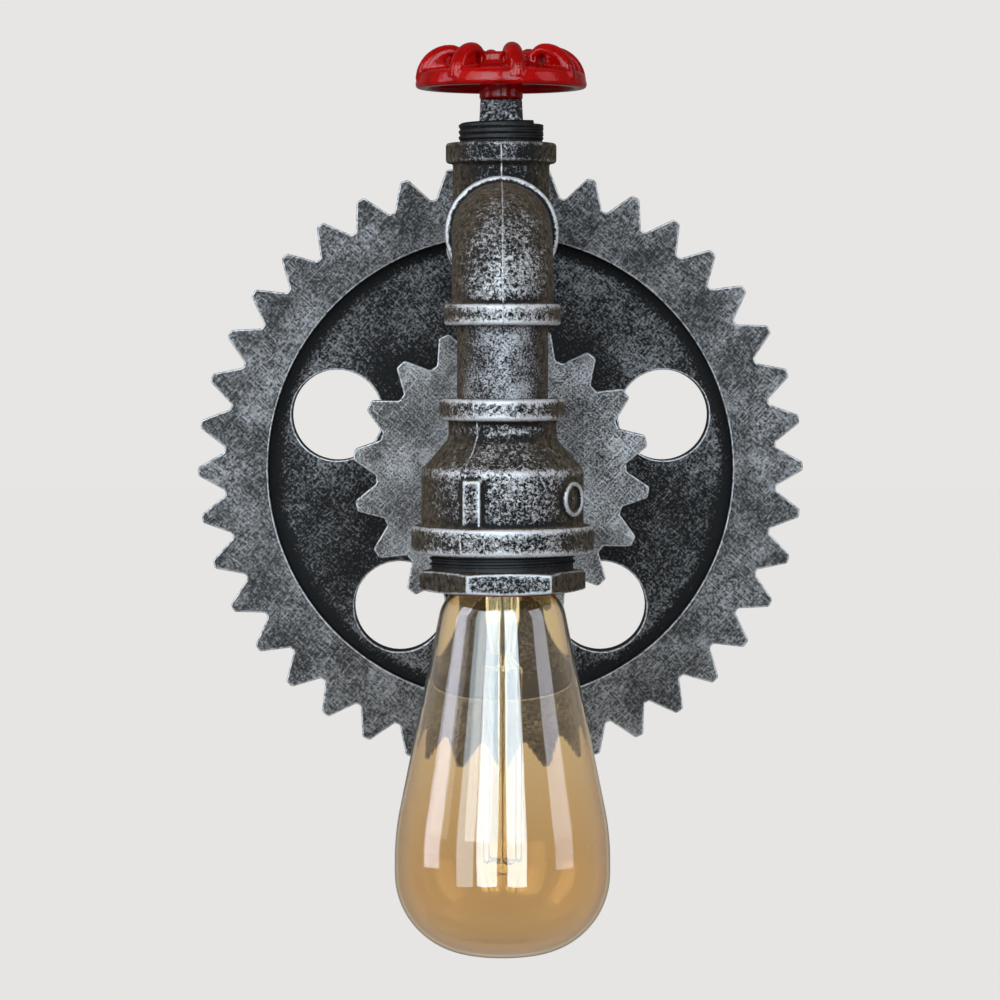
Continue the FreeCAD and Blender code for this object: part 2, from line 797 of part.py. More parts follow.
def make_large_gear():
    """Cast gear wheel with a recessed web, four round windows and a solid land behind the tee."""
    body = new_body("large_gear")
    disc = new_sketch(body)
    add_circle(disc, 0, 0, gear_root_radius)
    extrude(body, disc, S.gear_thickness)
    add_teeth(body, gear_root_radius, S.gear_tip_radius, S.gear_valley, S.gear_tooth_tip,
              S.gear_tooth_round, S.gear_teeth, S.gear_phase, S.gear_thickness)
    recess_radius = gear_root_radius - S.gear_rim_width
    recess = new_sketch(body, offset=S.gear_thickness)
    add_circle(recess, 0, 0, recess_radius)
    cut(body, recess, S.gear_recess)
    rod_height = gear_drop + pipe_height
    land = new_sketch(body, offset=S.gear_thickness - S.gear_recess)
    add_circle(land, 0, rod_height, S.fitting_band_radius)
    extrude(body, land, S.gear_recess)
    half_step = S.gear_hole_step * (S.gear_hole_count - 1) / 2
    window = new_sketch(body, turn=180 - half_step)
    add_circle(window, 0, recess_radius - S.gear_hole_margin - S.gear_hole_radius, S.gear_hole_radius)
    window_cut = cut(body, window, S.gear_thickness, forward=True)
    repeat_round(body, [window_cut], S.gear_hole_count, half_step * 2)
    centre = new_sketch(body)
    add_circle(centre, 0, 0, S.bolt_radius + S.running_gap)
    cut(body, centre, S.gear_thickness, forward=True)
    rod_hole = new_sketch(body)
    add_circle(rod_hole, 0, rod_height, S.rod_radius + S.running_gap)
    cut(body, rod_hole, S.gear_thickness, forward=True)
    for k in range(int(S.gear_screw_count.value)):
        angle = as_size(360 * k) / S.gear_screw_count - 90
        screw = new_sketch(body)
        add_circle(screw, S.gear_screw_circle * cosine(angle), gear_drop + S.gear_screw_circle * sine(angle),
                   S.small_screw_radius + S.thread_gap)
        cut(body, screw, S.gear_screw_bite + S.slack, forward=True)
    place(body, ahead=S.canopy_depth, height=-gear_drop, rotation=FORWARD)


def make_small_gear():
    body = new_body("small_gear")
    root_radius = S.pinion_tip_radius - S.pinion_tooth_height
    disc = new_sketch(body)
    add_circle(disc, 0, 0, root_radius)
    extrude(body, disc, S.pinion_thickness)
    add_teeth(body, root_radius, S.pinion_tip_radius, S.pinion_valley, S.pinion_tooth_tip,
              S.pinion_tooth_round, S.pinion_teeth, S.pinion_phase, S.pinion_thickness)
    centre = new_sketch(body)
    add_circle(centre, 0, 0, S.bolt_radius + S.running_gap)
    cut(body, centre, S.pinion_thickness, forward=True)
    place(body, ahead=pinion_back, height=-gear_drop, rotation=FORWARD)


def make_gear_spacer():
    ring("gear_spacer", S.bolt_radius + S.running_gap, S.spacer_radius, web_face, pinion_back, FORWARD,
         height=-gear_drop)


nut_back = S.canopy_depth - S.bolt_washer_height - S.bolt_nut_height
bolt_back = nut_back - S.bolt_spare
bolt_seat = pinion_face + S.bolt_washer_height


def make_gear_bolt():
    """Hexagon bolt through both gears and the spacer."""
    body = new_body("gear_bolt")
    shank = new_sketch(body, offset=bolt_back)
    add_circle(shank, 0, 0, S.bolt_radius)
    extrude(body, shank, bolt_seat - bolt_back)
    head = new_sketch(body, offset=bolt_seat)
    add_hexagon(head, S.bolt_flats)
    extrude(body, head, S.bolt_head)
    bevel_corners(body, S.bolt_flats, bolt_seat + S.bolt_head, S.bolt_head / 5)
    place(body, height=-gear_drop, rotation=FORWARD)


def bevel_corners(body, flats, face, drop):
    """Turn the corners off a hexagon at one face, down to its flats' circle; a positive drop bevels the upper
    face and a negative one the lower face."""
    inner = flats / 2
    outer = flats * 0.6
    depth = drop * (outer - inner) / (flats / math.sqrt(3) - inner)
    bore(body, [(inner, face), (outer, face), (outer, face - depth)])


def make_gear_washers():
    """Washers under the bolt's head and under its nut."""
    body = new_body("gear_washers")
    for low in (pinion_face, S.canopy_depth - S.bolt_washer_height):
        washer = new_sketch(body, offset=low)
        add_circle(washer, 0, 0, S.bolt_washer_radius)
        add_circle(washer, 0, 0, S.bolt_radius + S.running_gap)
        extrude(body, washer, S.bolt_washer_height)
    place(body, height=-gear_drop, rotation=FORWARD)


def make_gear_nut():
    body = new_body("gear_nut")
    nut = new_sketch(body, offset=nut_back)
    add_hexagon(nut, S.bolt_flats)
    add_circle(nut, 0, 0, S.bolt_radius + S.thread_gap)
    extrude(body, nut, S.bolt_nut_height)
    place(body, height=-gear_drop, rotation=FORWARD)


# Pipe fittings

def arm_outline(reach):
    """Upper half of a cast arm from the fitting's centre, with a raised band at its end."""
    band = reach - S.fitting_band_length
    return [
        (S.fitting_radius, band),
        (S.fitting_band_radius, band, S.fitting_round),
        (S.fitting_band_radius, reach, S.fitting_round),
    ]


def swap(corners):
    """The same corners drawn along the level axis."""
    return [(corner[1], corner[0]) + corner[2:] for corner in corners]


def socket_outline(reach, inside):
    """A threaded socket and the passage behind it, from this far inside to the arm's end."""
    seat = reach - socket_depth
    return [
        (0, inside),
        (S.fitting_passage, inside),
        (S.fitting_passage, seat),
        (socket_radius, seat),
        (socket_radius, reach),
        (0, reach),
    ]


def make_tee():
    """Cast tee whose run goes ahead from the wall, with its branch upright."""
    body = new_body("tee")
    arm = swap(arm_outline(S.tee_reach))
    back = [(-corner[0],) + corner[1:] for corner in reversed(arm)]
    revolve(body, [(S.tee_reach, 0), (-S.tee_reach, 0)] + back + arm, "H_Axis")
    revolve(body, [(0, 0), (S.fitting_radius, 0)] + arm_outline(S.tee_reach) + [(0, S.tee_reach)])
    socket = swap(socket_outline(S.tee_reach, as_size(0)))[1:]
    back_socket = [(-corner[0],) + corner[1:] for corner in reversed(socket)]
    bore(body, back_socket[:-1] + socket[1:], "H_Axis")
    bore(body, socket_outline(S.tee_reach, as_size(0)))
    place(body, ahead=tee_centre, height=pipe_height, rotation=RUN_FORWARD)


def make_front_nipple():
    """Short nipple between the tee and the elbow."""
    low = tee_front - S.thread_bite
    high = elbow_back + S.thread_bite
    ring("front_nipple", S.pipe_bore, S.pipe_thread_radius, low, high, FORWARD, height=pipe_height)


def bend_path(body):
    """Centre line of the elbow: level from the inlet, a quarter turn, then straight down."""
    path = new_sketch(body, "XZ_Plane")
    reach, bend = S.elbow_reach, S.elbow_bend
    level = path.addGeometry(Part.LineSegment(Vector(reach.value, 0, 0), Vector(bend.value, 0, 0)), False)
    circle = Part.Circle(Vector(bend.value, -bend.value, 0), Vector(0, 0, 1), bend.value)
    quarter = path.addGeometry(Part.ArcOfCircle(circle, math.pi / 2, math.pi), False)
    down = path.addGeometry(Part.LineSegment(Vector(0, -bend.value, 0), Vector(0, -reach.value, 0)), False)
    pin_point(path, level, 1, reach, 0)
    pin_point(path, down, 2, 0, -reach)
    pin_point(path, quarter, 3, bend, -bend)
    path.addConstraint(Sketcher.Constraint("Tangent", level, 2, quarter, 1))
    path.addConstraint(Sketcher.Constraint("Tangent", quarter, 2, down, 1))
    return path


def make_elbow():
    """Cast elbow from the nipple down to the drop pipe."""
    body = new_body("elbow")
    outer = new_sketch(body, "YZ_Plane", offset=S.elbow_reach)
    add_circle(outer, 0, 0, S.fitting_radius)
    sweep(body, bend_path(body), outer)
    band = [(0, S.elbow_reach - S.fitting_band_length)] + arm_outline(S.elbow_reach) + [(0, S.elbow_reach)]
    revolve(body, swap(band), "H_Axis")
    revolve(body, [(corner[0], -corner[1]) + corner[2:] for corner in band])
    before = body_volume(body)
    inner = new_sketch(body, "YZ_Plane", offset=S.elbow_reach)
    add_circle(inner, 0, 0, S.fitting_passage)
    sweep(body, bend_path(body), inner, "PartDesign::SubtractivePipe")
    check_cut(body, before)
    seat = S.elbow_reach - socket_depth
    socket = [(0, seat), (socket_radius, seat), (socket_radius, S.elbow_reach), (0, S.elbow_reach)]
    bore(body, swap(socket), "H_Axis")
    bore(body, [(corner[0], -corner[1]) for corner in socket])
    place(body, ahead=drop_axis, height=pipe_height, rotation=RUN_BACK)


def make_drop_nipple():
    """Straight pipe between the elbow and the reducer, threaded at both ends."""
    body = new_body("drop_nipple")
    low, high = reducer_top, elbow_bottom
    revolve(body, [
        (S.pipe_bore, low - S.thread_bite),
        (S.pipe_thread_radius, low - S.thread_bite),
        (S.pipe_thread_radius, low + S.slack),
        (S.pipe_radius, low + S.slack),
        (S.pipe_radius, high - S.slack),
        (S.pipe_thread_radius, high - S.slack),
        (S.pipe_thread_radius, high + S.thread_bite),
        (S.pipe_bore, high + S.thread_bite),
    ])
    place(body, ahead=drop_axis)


# Plug and hand wheel on top of the tee

def make_square_plug():
    """Plug with a few turns of thread above the tee and a square head."""
    body = new_body("square_plug")
    crest = S.pipe_thread_radius
    root = crest - S.plug_ridge_depth
    corners = [(0, tee_top - S.thread_bite), (crest, tee_top - S.thread_bite), (crest, tee_top)]
    for ridge in range(int(S.plug_ridges.value)):
        low = tee_top + ridge * S.plug_ridge_pitch
        corners.append((root, low + S.plug_ridge_pitch / 3))
        corners.append((crest, low + S.plug_ridge_pitch * 2 / 3))
        corners.append((crest, low + S.plug_ridge_pitch))
    revolve(body, corners + [(crest, plug_top), (0, plug_top)])
    head = new_sketch(body, offset=plug_top)
    half = S.plug_square / 2
    add_rectangle(head, -half, half, -half, half)
    extrude(body, head, S.plug_square_height, taper=-S.plug_square_taper)
    thread = new_sketch(body, offset=square_top)
    add_circle(thread, 0, 0, S.wheel_screw_radius + S.thread_gap)
    cut(body, thread, S.wheel_screw_bite + S.slack)
    place(body, ahead=tee_centre)


rim_bottom = wheel_bottom + S.wheel_hub_drop
rim_top = rim_bottom + S.wheel_rim_height
skirt_bottom = rim_bottom + S.wheel_skirt_hollow
boss_top = rim_bottom + S.wheel_boss_height
sink_bottom = boss_top - S.wheel_sink_depth
rim_inner = S.wheel_radius - S.wheel_rim_width


def make_handwheel():
    """Cast hand wheel: hub, rim and a skirt rising to a central boss, with arched lobes from boss to rim."""
    body = new_body("handwheel")
    hole = S.wheel_screw_radius + S.running_gap
    revolve(body, [
        (hole, wheel_bottom),
        (S.wheel_hub_radius, wheel_bottom),
        (S.wheel_hub_radius, skirt_bottom + S.wheel_skirt_rise),
        (rim_inner, skirt_bottom),
        (rim_inner, rim_bottom),
        (S.wheel_radius, rim_bottom, S.wheel_rim_height / 4),
        (S.wheel_radius - S.wheel_rim_height / 4, rim_top, S.wheel_rim_height / 3),
        (S.wheel_boss_radius, rim_top + S.wheel_skirt_rise, S.wheel_skirt_round),
        (S.wheel_boss_radius, boss_top, S.wheel_rim_height / 4),
        (S.wheel_sink_radius, boss_top),
        (S.wheel_sink_radius, sink_bottom),
        (hole, sink_bottom),
    ])
    arch = add_lobe_arch(body)
    web = add_lobe_web(body)
    hole = new_sketch(body, "XZ_Plane")
    add_circle(hole, lobe_crown, lobe_peak - S.wheel_lobe_bar, S.wheel_lobe_hole)
    opening = cut(body, hole, 2 * S.wheel_lobe_bar + S.slack, both_ways=True)
    repeat_round(body, [arch, web, opening], S.wheel_lobes)
    turn = -90 + S.wheel_lobe_turn.value
    place(body, ahead=tee_centre, rotation=Rotation(Vector(0, 0, 1), turn))
    body.setExpression("Placement.Rotation.Angle", (S.wheel_lobe_turn - 90).text)


lobe_outer = S.wheel_radius - S.wheel_lobe_bar
lobe_peak = rim_bottom + S.wheel_lobe_peak - S.wheel_lobe_bar
lobe_foot = (rim_bottom + rim_top) / 2
lobe_bend = lobe_peak - lobe_foot
lobe_crown = lobe_outer - lobe_bend
lobe_inner = lobe_crown - S.wheel_lobe_inner_bend
lobe_shoulder = lobe_peak - S.wheel_lobe_inner_bend
lobe_heel = rim_top + S.wheel_skirt_rise / 2


def add_lobe_arch(body):
    """Round bar of a lobe: up from the rim, over a wide bend, then over a tight one and down to the skirt."""
    path = new_sketch(body, "XZ_Plane")
    up = Vector(0, 0, 1)
    wide_circle = Part.Circle(Vector(lobe_crown.value, lobe_foot.value, 0), up, lobe_bend.value)
    wide = path.addGeometry(Part.ArcOfCircle(wide_circle, 0, math.pi / 2), False)
    tight_centre = Vector(lobe_crown.value, lobe_shoulder.value, 0)
    tight_circle = Part.Circle(tight_centre, up, S.wheel_lobe_inner_bend.value)
    tight = path.addGeometry(Part.ArcOfCircle(tight_circle, math.pi / 2, math.pi), False)
    start = Vector(lobe_inner.value, lobe_shoulder.value, 0)
    leg = path.addGeometry(Part.LineSegment(start, Vector(lobe_inner.value, lobe_heel.value, 0)), False)
    pin_point(path, wide, 1, lobe_outer, lobe_foot)
    pin_point(path, wide, 3, lobe_crown, lobe_foot)
    path.addConstraint(Sketcher.Constraint("Tangent", wide, 2, tight, 1))
    pin_point(path, tight, 3, lobe_crown, lobe_shoulder)
    path.addConstraint(Sketcher.Constraint("Tangent", tight, 2, leg, 1))
    pin_point(path, leg, 2, lobe_inner, lobe_heel)
    section = new_sketch(body, "XY_Plane", offset=lobe_foot)
    add_circle(section, lobe_outer, 0, S.wheel_lobe_bar)
    return sweep(body, path, section)


def add_lobe_web(body):
    """Solid web under a lobe's bar."""
    web = new_sketch(body, "XZ_Plane")
    add_outline(web, [
        (lobe_inner, lobe_heel),
        (lobe_outer, lobe_foot),
        (lobe_outer - lobe_bend * 0.3, lobe_foot + lobe_bend * 0.7),
        (lobe_crown, lobe_peak),
        (lobe_inner, lobe_shoulder),
    ])
    return extrude(body, web, S.wheel_lobe_web, both_ways=True)


def make_wheel_washer():
    low = sink_bottom + S.running_gap
    ring("wheel_washer", S.wheel_screw_radius + S.running_gap, S.wheel_washer_radius, low,
         low + S.wheel_washer_height, ahead=tee_centre)


def make_wheel_screw():
    """Screw on which the hand wheel turns."""
    body = new_body("wheel_screw")
    seat = sink_bottom + S.running_gap + S.wheel_washer_height
    face = seat + S.wheel_screw_head
    revolve(body, [
        (0, square_top - S.wheel_screw_bite),
        (S.wheel_screw_radius, square_top - S.wheel_screw_bite),
        (S.wheel_screw_radius, seat),
        (S.wheel_screw_head_radius, seat),
        (S.wheel_screw_head_radius, face, S.wheel_screw_head / 3),
        (0, face),
    ])
    add_slotted_head(body, as_size(0), as_size(0), face, S.wheel_screw_head_radius, S.screw_slot_depth,
                     S.screw_slot_width)
    place(body, ahead=tee_centre)


# Reducer, bushing and lampholder

def make_reducer():
    """Cast bell reducer with two ribs and a bare raised ring on its side."""
    body = new_body("reducer")
    top_band = reducer_top - S.reducer_top_length
    neck = top_band - S.reducer_neck_length
    shoulder = neck - S.reducer_shoulder
    low_band = reducer_bottom + S.reducer_band_length
    revolve(body, [
        (0, reducer_bottom),
        (S.reducer_band_radius, reducer_bottom, S.reducer_round),
        (S.reducer_band_radius, low_band, S.reducer_round),
        (S.reducer_radius, low_band),
        (S.reducer_radius, shoulder, S.reducer_shoulder_round),
        (S.reducer_neck_radius, neck, S.reducer_shoulder_round),
        (S.reducer_neck_radius, top_band),
        (S.reducer_top_radius, top_band, S.reducer_round),
        (S.reducer_top_radius, reducer_top, S.reducer_round),
        (0, reducer_top),
    ])
    rib = new_sketch(body, "XZ_Plane", swing=S.reducer_rib_turn)
    half_rib = S.reducer_rib_width / 2
    rib_top = shoulder - S.reducer_rib_drop
    add_rectangle(rib, -half_rib, half_rib, low_band - S.reducer_band_length / 3, rib_top)
    extrude(body, rib, 2 * (S.reducer_radius + S.reducer_rib_height), both_ways=True)
    ring_height = (low_band + shoulder) / 2
    side_ring = new_sketch(body, "XZ_Plane", swing=S.reducer_ring_turn)
    add_circle(side_ring, 0, ring_height, S.reducer_ring_radius)
    add_circle(side_ring, 0, ring_height, S.reducer_ring_radius - S.reducer_ring_width)
    extrude(body, side_ring, S.reducer_radius + S.reducer_ring_height)
    inner = S.reducer_radius - S.reducer_wall
    inner_neck = S.reducer_neck_radius - S.reducer_wall
    seat = reducer_top - socket_depth
    bore(body, [
        (0, reducer_bottom),
        (S.bushing_thread_radius + S.thread_gap, reducer_bottom),
        (S.bushing_thread_radius + S.thread_gap, flange_top + S.slack),
        (inner, flange_top + S.slack),
        (inner, crown_bottom + S.slack),
        (inner_neck, holder_top + S.reducer_wire_room / 2),
        (inner_neck, seat),
        (socket_radius, seat),
        (socket_radius, reducer_top),
        (0, reducer_top),
    ])
    place(body, ahead=drop_axis)


def make_hex_bushing():
    """Hexagon bushing screwed up into the reducer, which clamps the lampholder's flange."""
    body = new_body("hex_bushing")
    revolve(body, [
        (0, hex_bottom),
        (S.bushing_thread_radius, hex_bottom),
        (S.bushing_thread_radius, flange_bottom),
        (0, flange_bottom),
    ])
    head = new_sketch(body, offset=hex_bottom, turn=S.hex_turn)
    add_hexagon(head, S.hex_flats)
    extrude(body, head, S.hex_height)
    bevel_corners(body, S.hex_flats, hex_top, S.hex_bevel)
    bevel_corners(body, S.hex_flats, hex_bottom, -S.hex_bevel)
    bore(body, [
        (0, hex_bottom),
        (S.bushing_bore, hex_bottom),
        (S.bushing_bore, flange_bottom),
        (0, flange_bottom),
    ])
    place(body, ahead=drop_axis)


def make_bushing_seal():
    """Dark red sealing ring in the mouth of the bushing."""
    outer = S.bushing_bore - S.thread_gap
    ring("bushing_seal", outer - S.seal_wall, outer, hex_bottom - S.seal_proud, holder_low - S.slack,
         ahead=drop_axis)


def make_holder_body():
    """Porcelain lampholder body: flange, skirt, crown with wire holes and screw wells."""
    body = new_body("holder_body")
    revolve(body, [
        (0, holder_low),
        (S.holder_skirt_radius, holder_low),
        (S.holder_skirt_radius, flange_bottom),
        (S.holder_flange_radius, flange_bottom),
        (S.holder_flange_radius, flange_top),
        (S.holder_body_radius, flange_top),
        (S.holder_body_radius, crown_bottom),
        (S.holder_crown_radius, holder_top),
        (0, holder_top),
    ])
    cavity = shell_radius + S.thread_gap
    bore(body, [(0, holder_low), (cavity, holder_low), (cavity, cavity_top), (0, cavity_top)])
    wire_hole = new_sketch(body, offset=holder_top)
    add_circle(wire_hole, S.holder_wire_across, 0, S.wire_radius + S.thread_gap)
    add_circle(wire_hole, -S.holder_wire_across, 0, S.wire_radius + S.thread_gap)
    cut(body, wire_hole, S.wire_hole_depth)
    well = new_sketch(body, offset=holder_top)
    add_circle(well, 0, S.holder_screw_across, S.holder_screw_radius + S.thread_gap)
    add_circle(well, 0, -S.holder_screw_across, S.holder_screw_radius + S.thread_gap)
    cut(body, well, S.holder_screw_depth)
    place(body, ahead=drop_axis)


def make_holder_screws():
    """The two terminal screws of the lampholder."""
    body = new_body("holder_screws")
    low = holder_top - S.holder_screw_depth + S.slack
    for side in (-1, 1):
        screw = new_sketch(body, offset=low)
        add_circle(screw, 0, side * S.holder_screw_across, S.holder_screw_radius)
        extrude(body, screw, S.holder_screw_depth)
    place(body, ahead=drop_axis)


def wave_outline(crest, shift):
    """Rounded ridges of the lamp's screw thread, upward from its lower end; shift moves them inwards."""
    corners = []
    root = crest - S.cap_groove_depth
    bend = S.cap_pitch / 3
    for turn in range(int(S.cap_turns.value)):
        low = cap_thread_bottom + turn * S.cap_pitch
        corners.append((root - shift, low + S.cap_pitch * 0.25, bend))
        corners.append((crest - shift, low + S.cap_pitch * 0.75, bend))
    return corners


def make_holder_shell():
    """Brass screw shell of the lampholder, whose ridges stay clear of the lamp's as it moves out."""
    body = new_body("holder_shell")
    crest = shell_radius
    inside = wave_outline(crest, S.holder_shell_wall)
    outside = wave_outline(crest, as_size(0))
    low, high = cap_thread_bottom, cap_top - S.cap_cone
    rim = [(crest, high), (crest - S.holder_shell_wall, high)]
    revolve(body, [(crest - S.holder_shell_wall, low), (crest, low)] + outside + rim + inside[::-1])
    place(body, ahead=drop_axis)


def make_holder_contact():
    """Spring tongue over the lamp's contact, on a foot against the lampholder's floor."""
    body = new_body("holder_contact")
    bottom = cavity_top - S.tongue_lift - S.tongue_thickness
    half_width = S.tongue_width / 2
    side = new_sketch(body, "XZ_Plane")
    add_outline(side, [
        (-S.contact_radius, bottom),
        (S.tongue_length - S.contact_radius, bottom),
        (S.tongue_length - S.contact_radius, cavity_top),
        (S.tongue_length - S.contact_radius - S.tongue_thickness, cavity_top),
        (S.tongue_length - S.contact_radius - S.tongue_thickness, bottom + S.tongue_thickness),
        (-S.contact_radius, bottom + S.tongue_thickness),
    ])
    extrude(body, side, half_width * 2, both_ways=True)
    place(body, ahead=drop_axis)


# Lamp

def drop(size):
    """Height of a point of the lamp that lies this far under the tip of its contact."""
    return bulb_tip - size


def make_bulb_cap():
    """Brass screw cap of the lamp: a plain skirt, thread ridges and a cone up to the insulator."""
    body = new_body("bulb_cap")
    inside = wave_outline(S.cap_radius, S.cap_wall)
    outside = wave_outline(S.cap_radius, as_size(0))
    inner_skirt = S.cap_radius - S.cap_wall
    skirt = [(inner_skirt, cap_bottom), (S.cap_radius, cap_bottom), (S.cap_radius, cap_thread_bottom)]
    rim = [(S.cap_top_radius, cap_top), (S.cap_top_radius - S.cap_wall, cap_top)]
    revolve(body, skirt + outside + rim + inside[::-1] + [(inner_skirt, cap_thread_bottom)])
    place(body, ahead=drop_axis)


def make_bulb_insulator():
    """Dark glass insulator between the cap and its centre contact."""
    body = new_body("bulb_insulator")
    top = bulb_tip - S.contact_height
    inside = S.cap_top_radius - S.cap_wall - S.thread_gap
    revolve(body, [
        (0, cap_top - S.slack),
        (inside, cap_top - S.slack),
        (inside, cap_top + S.slack),
        (S.insulator_radius, cap_top + S.slack),
        (S.contact_radius, top),
        (0, top),
    ])
    place(body, ahead=drop_axis)


def make_bulb_contact():
    """Centre contact of the lamp."""
    body = new_body("bulb_contact")
    low = bulb_tip - S.contact_height
    revolve(body, [
        (0, low),
        (S.contact_radius, low),
        (S.contact_radius, bulb_tip, S.contact_height * 0.8),
        (0, bulb_tip),
    ])
    place(body, ahead=drop_axis)


def glass_outline(wall):
    """The bulb's outline this far inside its outer surface, from its base up to its neck."""
    base = drop(S.bulb_length) + wall
    return [
        (0, base),
        (S.bulb_flat, base, S.bulb_base_round - wall),
        (S.bulb_radius - wall, base + S.bulb_knee_lift, S.bulb_knee_round - wall),
        (S.bulb_radius - wall, base - wall + S.bulb_widest_lift, S.bulb_flank_round - wall),
        (S.bulb_shoulder_radius - wall, hex_bottom - S.bulb_shoulder_below, S.bulb_shoulder_round),
        (S.bulb_neck_radius - wall, cap_bottom - S.bulb_neck_below, S.bulb_neck_round),
        (S.bulb_neck_radius - wall, cap_thread_bottom),
    ]


def make_bulb_glass():
    """Blown glass bulb, open at its neck inside the cap."""
    body = new_body("bulb_glass")
    revolve(body, glass_outline(as_size(0)) + [(0, cap_thread_bottom)])
    bore(body, glass_outline(S.bulb_glass) + [(0, cap_thread_bottom)])
    place(body, ahead=drop_axis)


def make_bulb_stem():
    """Glass stem: a flare sealed in the neck, a tube, and a thin rod down the middle."""
    body = new_body("bulb_stem")
    top = cap_thread_bottom
    tube_end = drop(S.stem_drop)
    revolve(body, [
        (0, drop(S.stem_rod_drop)),
        (S.stem_rod_radius, drop(S.stem_rod_drop)),
        (S.stem_rod_radius, tube_end),
        (S.stem_radius * 0.7, tube_end, S.stem_rod_radius),
        (S.stem_radius, tube_end + S.stem_radius * 2),
        (S.stem_radius, top - S.stem_radius, S.stem_rod_radius),
        (S.bulb_neck_radius - S.bulb_glass - S.thread_gap, top),
        (0, top),
    ])
    place(body, ahead=drop_axis)


def make_support(label, level, turn):
    """Collar on the stem's rod with a spoke through each loop of the filament at this level."""
    body = new_body(label)
    inner = S.stem_rod_radius + S.thread_gap
    outer = inner + S.support_collar_wall
    half = S.support_collar_height / 2
    low, high = level - half, level + half
    revolve(body, [(inner, low), (outer, low), (outer, high), (inner, high)])
    spoke = new_sketch(body, "YZ_Plane", offset=(inner + outer) / 2)
    add_circle(spoke, 0, level, S.support_wire_radius)
    spoke_pad = extrude(body, spoke, S.filament_circle + S.support_spare - (inner + outer) / 2)
    repeat_round(body, [spoke_pad], S.filament_loops)
    place(body, ahead=drop_axis, rotation=Rotation(Vector(0, 0, 1), turn.value))
    body.setExpression("Placement.Rotation.Angle", turn.text)


half_step = as_size(90) / S.filament_loops
loop_radius = S.filament_circle * sine(half_step)
hook_drop = loop_radius - S.filament_radius - S.support_wire_radius - S.thread_gap


def make_supports():
    make_support("bulb_support_top", drop(S.filament_top_drop) + hook_drop, 3 * half_step)
    make_support("bulb_support_low", drop(S.filament_bottom_drop) - hook_drop, half_step)


def tube_along(edges, radius):
    """A round tube along tangent edges, checked against its section times its length."""
    wire = Part.Wire(edges)
    start = edges[0].firstVertex().Point
    direction = edges[0].tangentAt(edges[0].FirstParameter)
    section = Part.Wire([Part.makeCircle(radius, start, direction)])
    tube = wire.makePipeShell([section], True, False)
    expected = math.pi * radius ** 2 * wire.Length
    if abs(tube.Volume / expected - 1) > 0.01:
        raise RuntimeError("a tube has %.3f of its volume" % (tube.Volume / expected))
    return tube


def rounded_route(points, radii):
    """Edges of straight runs between points, joined by arcs of these radii at the inner points."""
    edges = []
    start = points[0]
    for i, radius in enumerate(radii, start=1):
        corner = points[i]
        back = (points[i - 1] - corner).normalize()
        on = (points[i + 1] - corner).normalize()
        half = back.getAngle(on) / 2
        reach = radius / math.tan(half)
        middle = corner + (back + on).normalize() * (radius / math.sin(half) - radius)
        edges.append(Part.LineSegment(start, corner + back * reach).toShape())
        edges.append(Part.Arc(corner + back * reach, middle, corner + on * reach).toShape())
        start = corner + on * reach
    edges.append(Part.LineSegment(start, points[-1]).toShape())
    return edges


def new_feature(label, shape):
    feature = doc.addObject("Part::Feature", label)
    feature.Label = label
    feature.Shape = shape
    return feature


def strand_side(number):
    """Direction from the stem's axis to a strand of the filament."""
    angle = math.pi * number / S.filament_loops.value
    return Vector(math.cos(angle), math.sin(angle), 0)


def make_filament():
    """Upright strands round the stem's rod, joined in turn above and below by half circles."""
    count = 2 * int(S.filament_loops.value)
    top, bottom = drop(S.filament_top_drop).value, drop(S.filament_bottom_drop).value
    feet = [strand_side(k) * S.filament_circle.value for k in range(count)]
    edges = []
    for k, foot in enumerate(feet):
        low, high = foot + Vector(0, 0, bottom), foot + Vector(0, 0, top)
        start, end = (high, low) if k % 2 == 0 else (low, high)
        edges.append(Part.LineSegment(start, end).toShape())
        if k + 1 < count:
            following = feet[k + 1] + Vector(0, 0, end.z)
            bulge = (following - end).Length / 2 * (-1 if k % 2 == 0 else 1)
            middle = (end + following) / 2 + Vector(0, 0, bulge)
            edges.append(Part.Arc(end, middle, following).toShape())
    filament = new_feature("bulb_filament", tube_along(edges, S.filament_radius.value))
    place(filament, ahead=drop_axis)


def make_leads():
    """Two lead wires from the end of the stem's tube to the ends of the filament."""
    stem_end, filament_end = drop(S.stem_drop).value, drop(S.filament_top_drop).value
    step = (stem_end - filament_end) / 4
    tubes = []
    for number in (0, 2 * S.filament_loops.value - 1):
        near, far = strand_side(number) * S.lead_circle.value, strand_side(number) * S.filament_circle.value
        points = [
            near + Vector(0, 0, stem_end),
            near + Vector(0, 0, stem_end - step),
            far + Vector(0, 0, filament_end + step),
            far + Vector(0, 0, filament_end),
        ]
        edges = rounded_route(points, [S.lead_bend.value] * 2)
        tubes.append(tube_along(edges, S.support_wire_radius.value))
    leads = new_feature("bulb_leads", Part.makeCompound(tubes))
    place(leads, ahead=drop_axis)


# Wiring

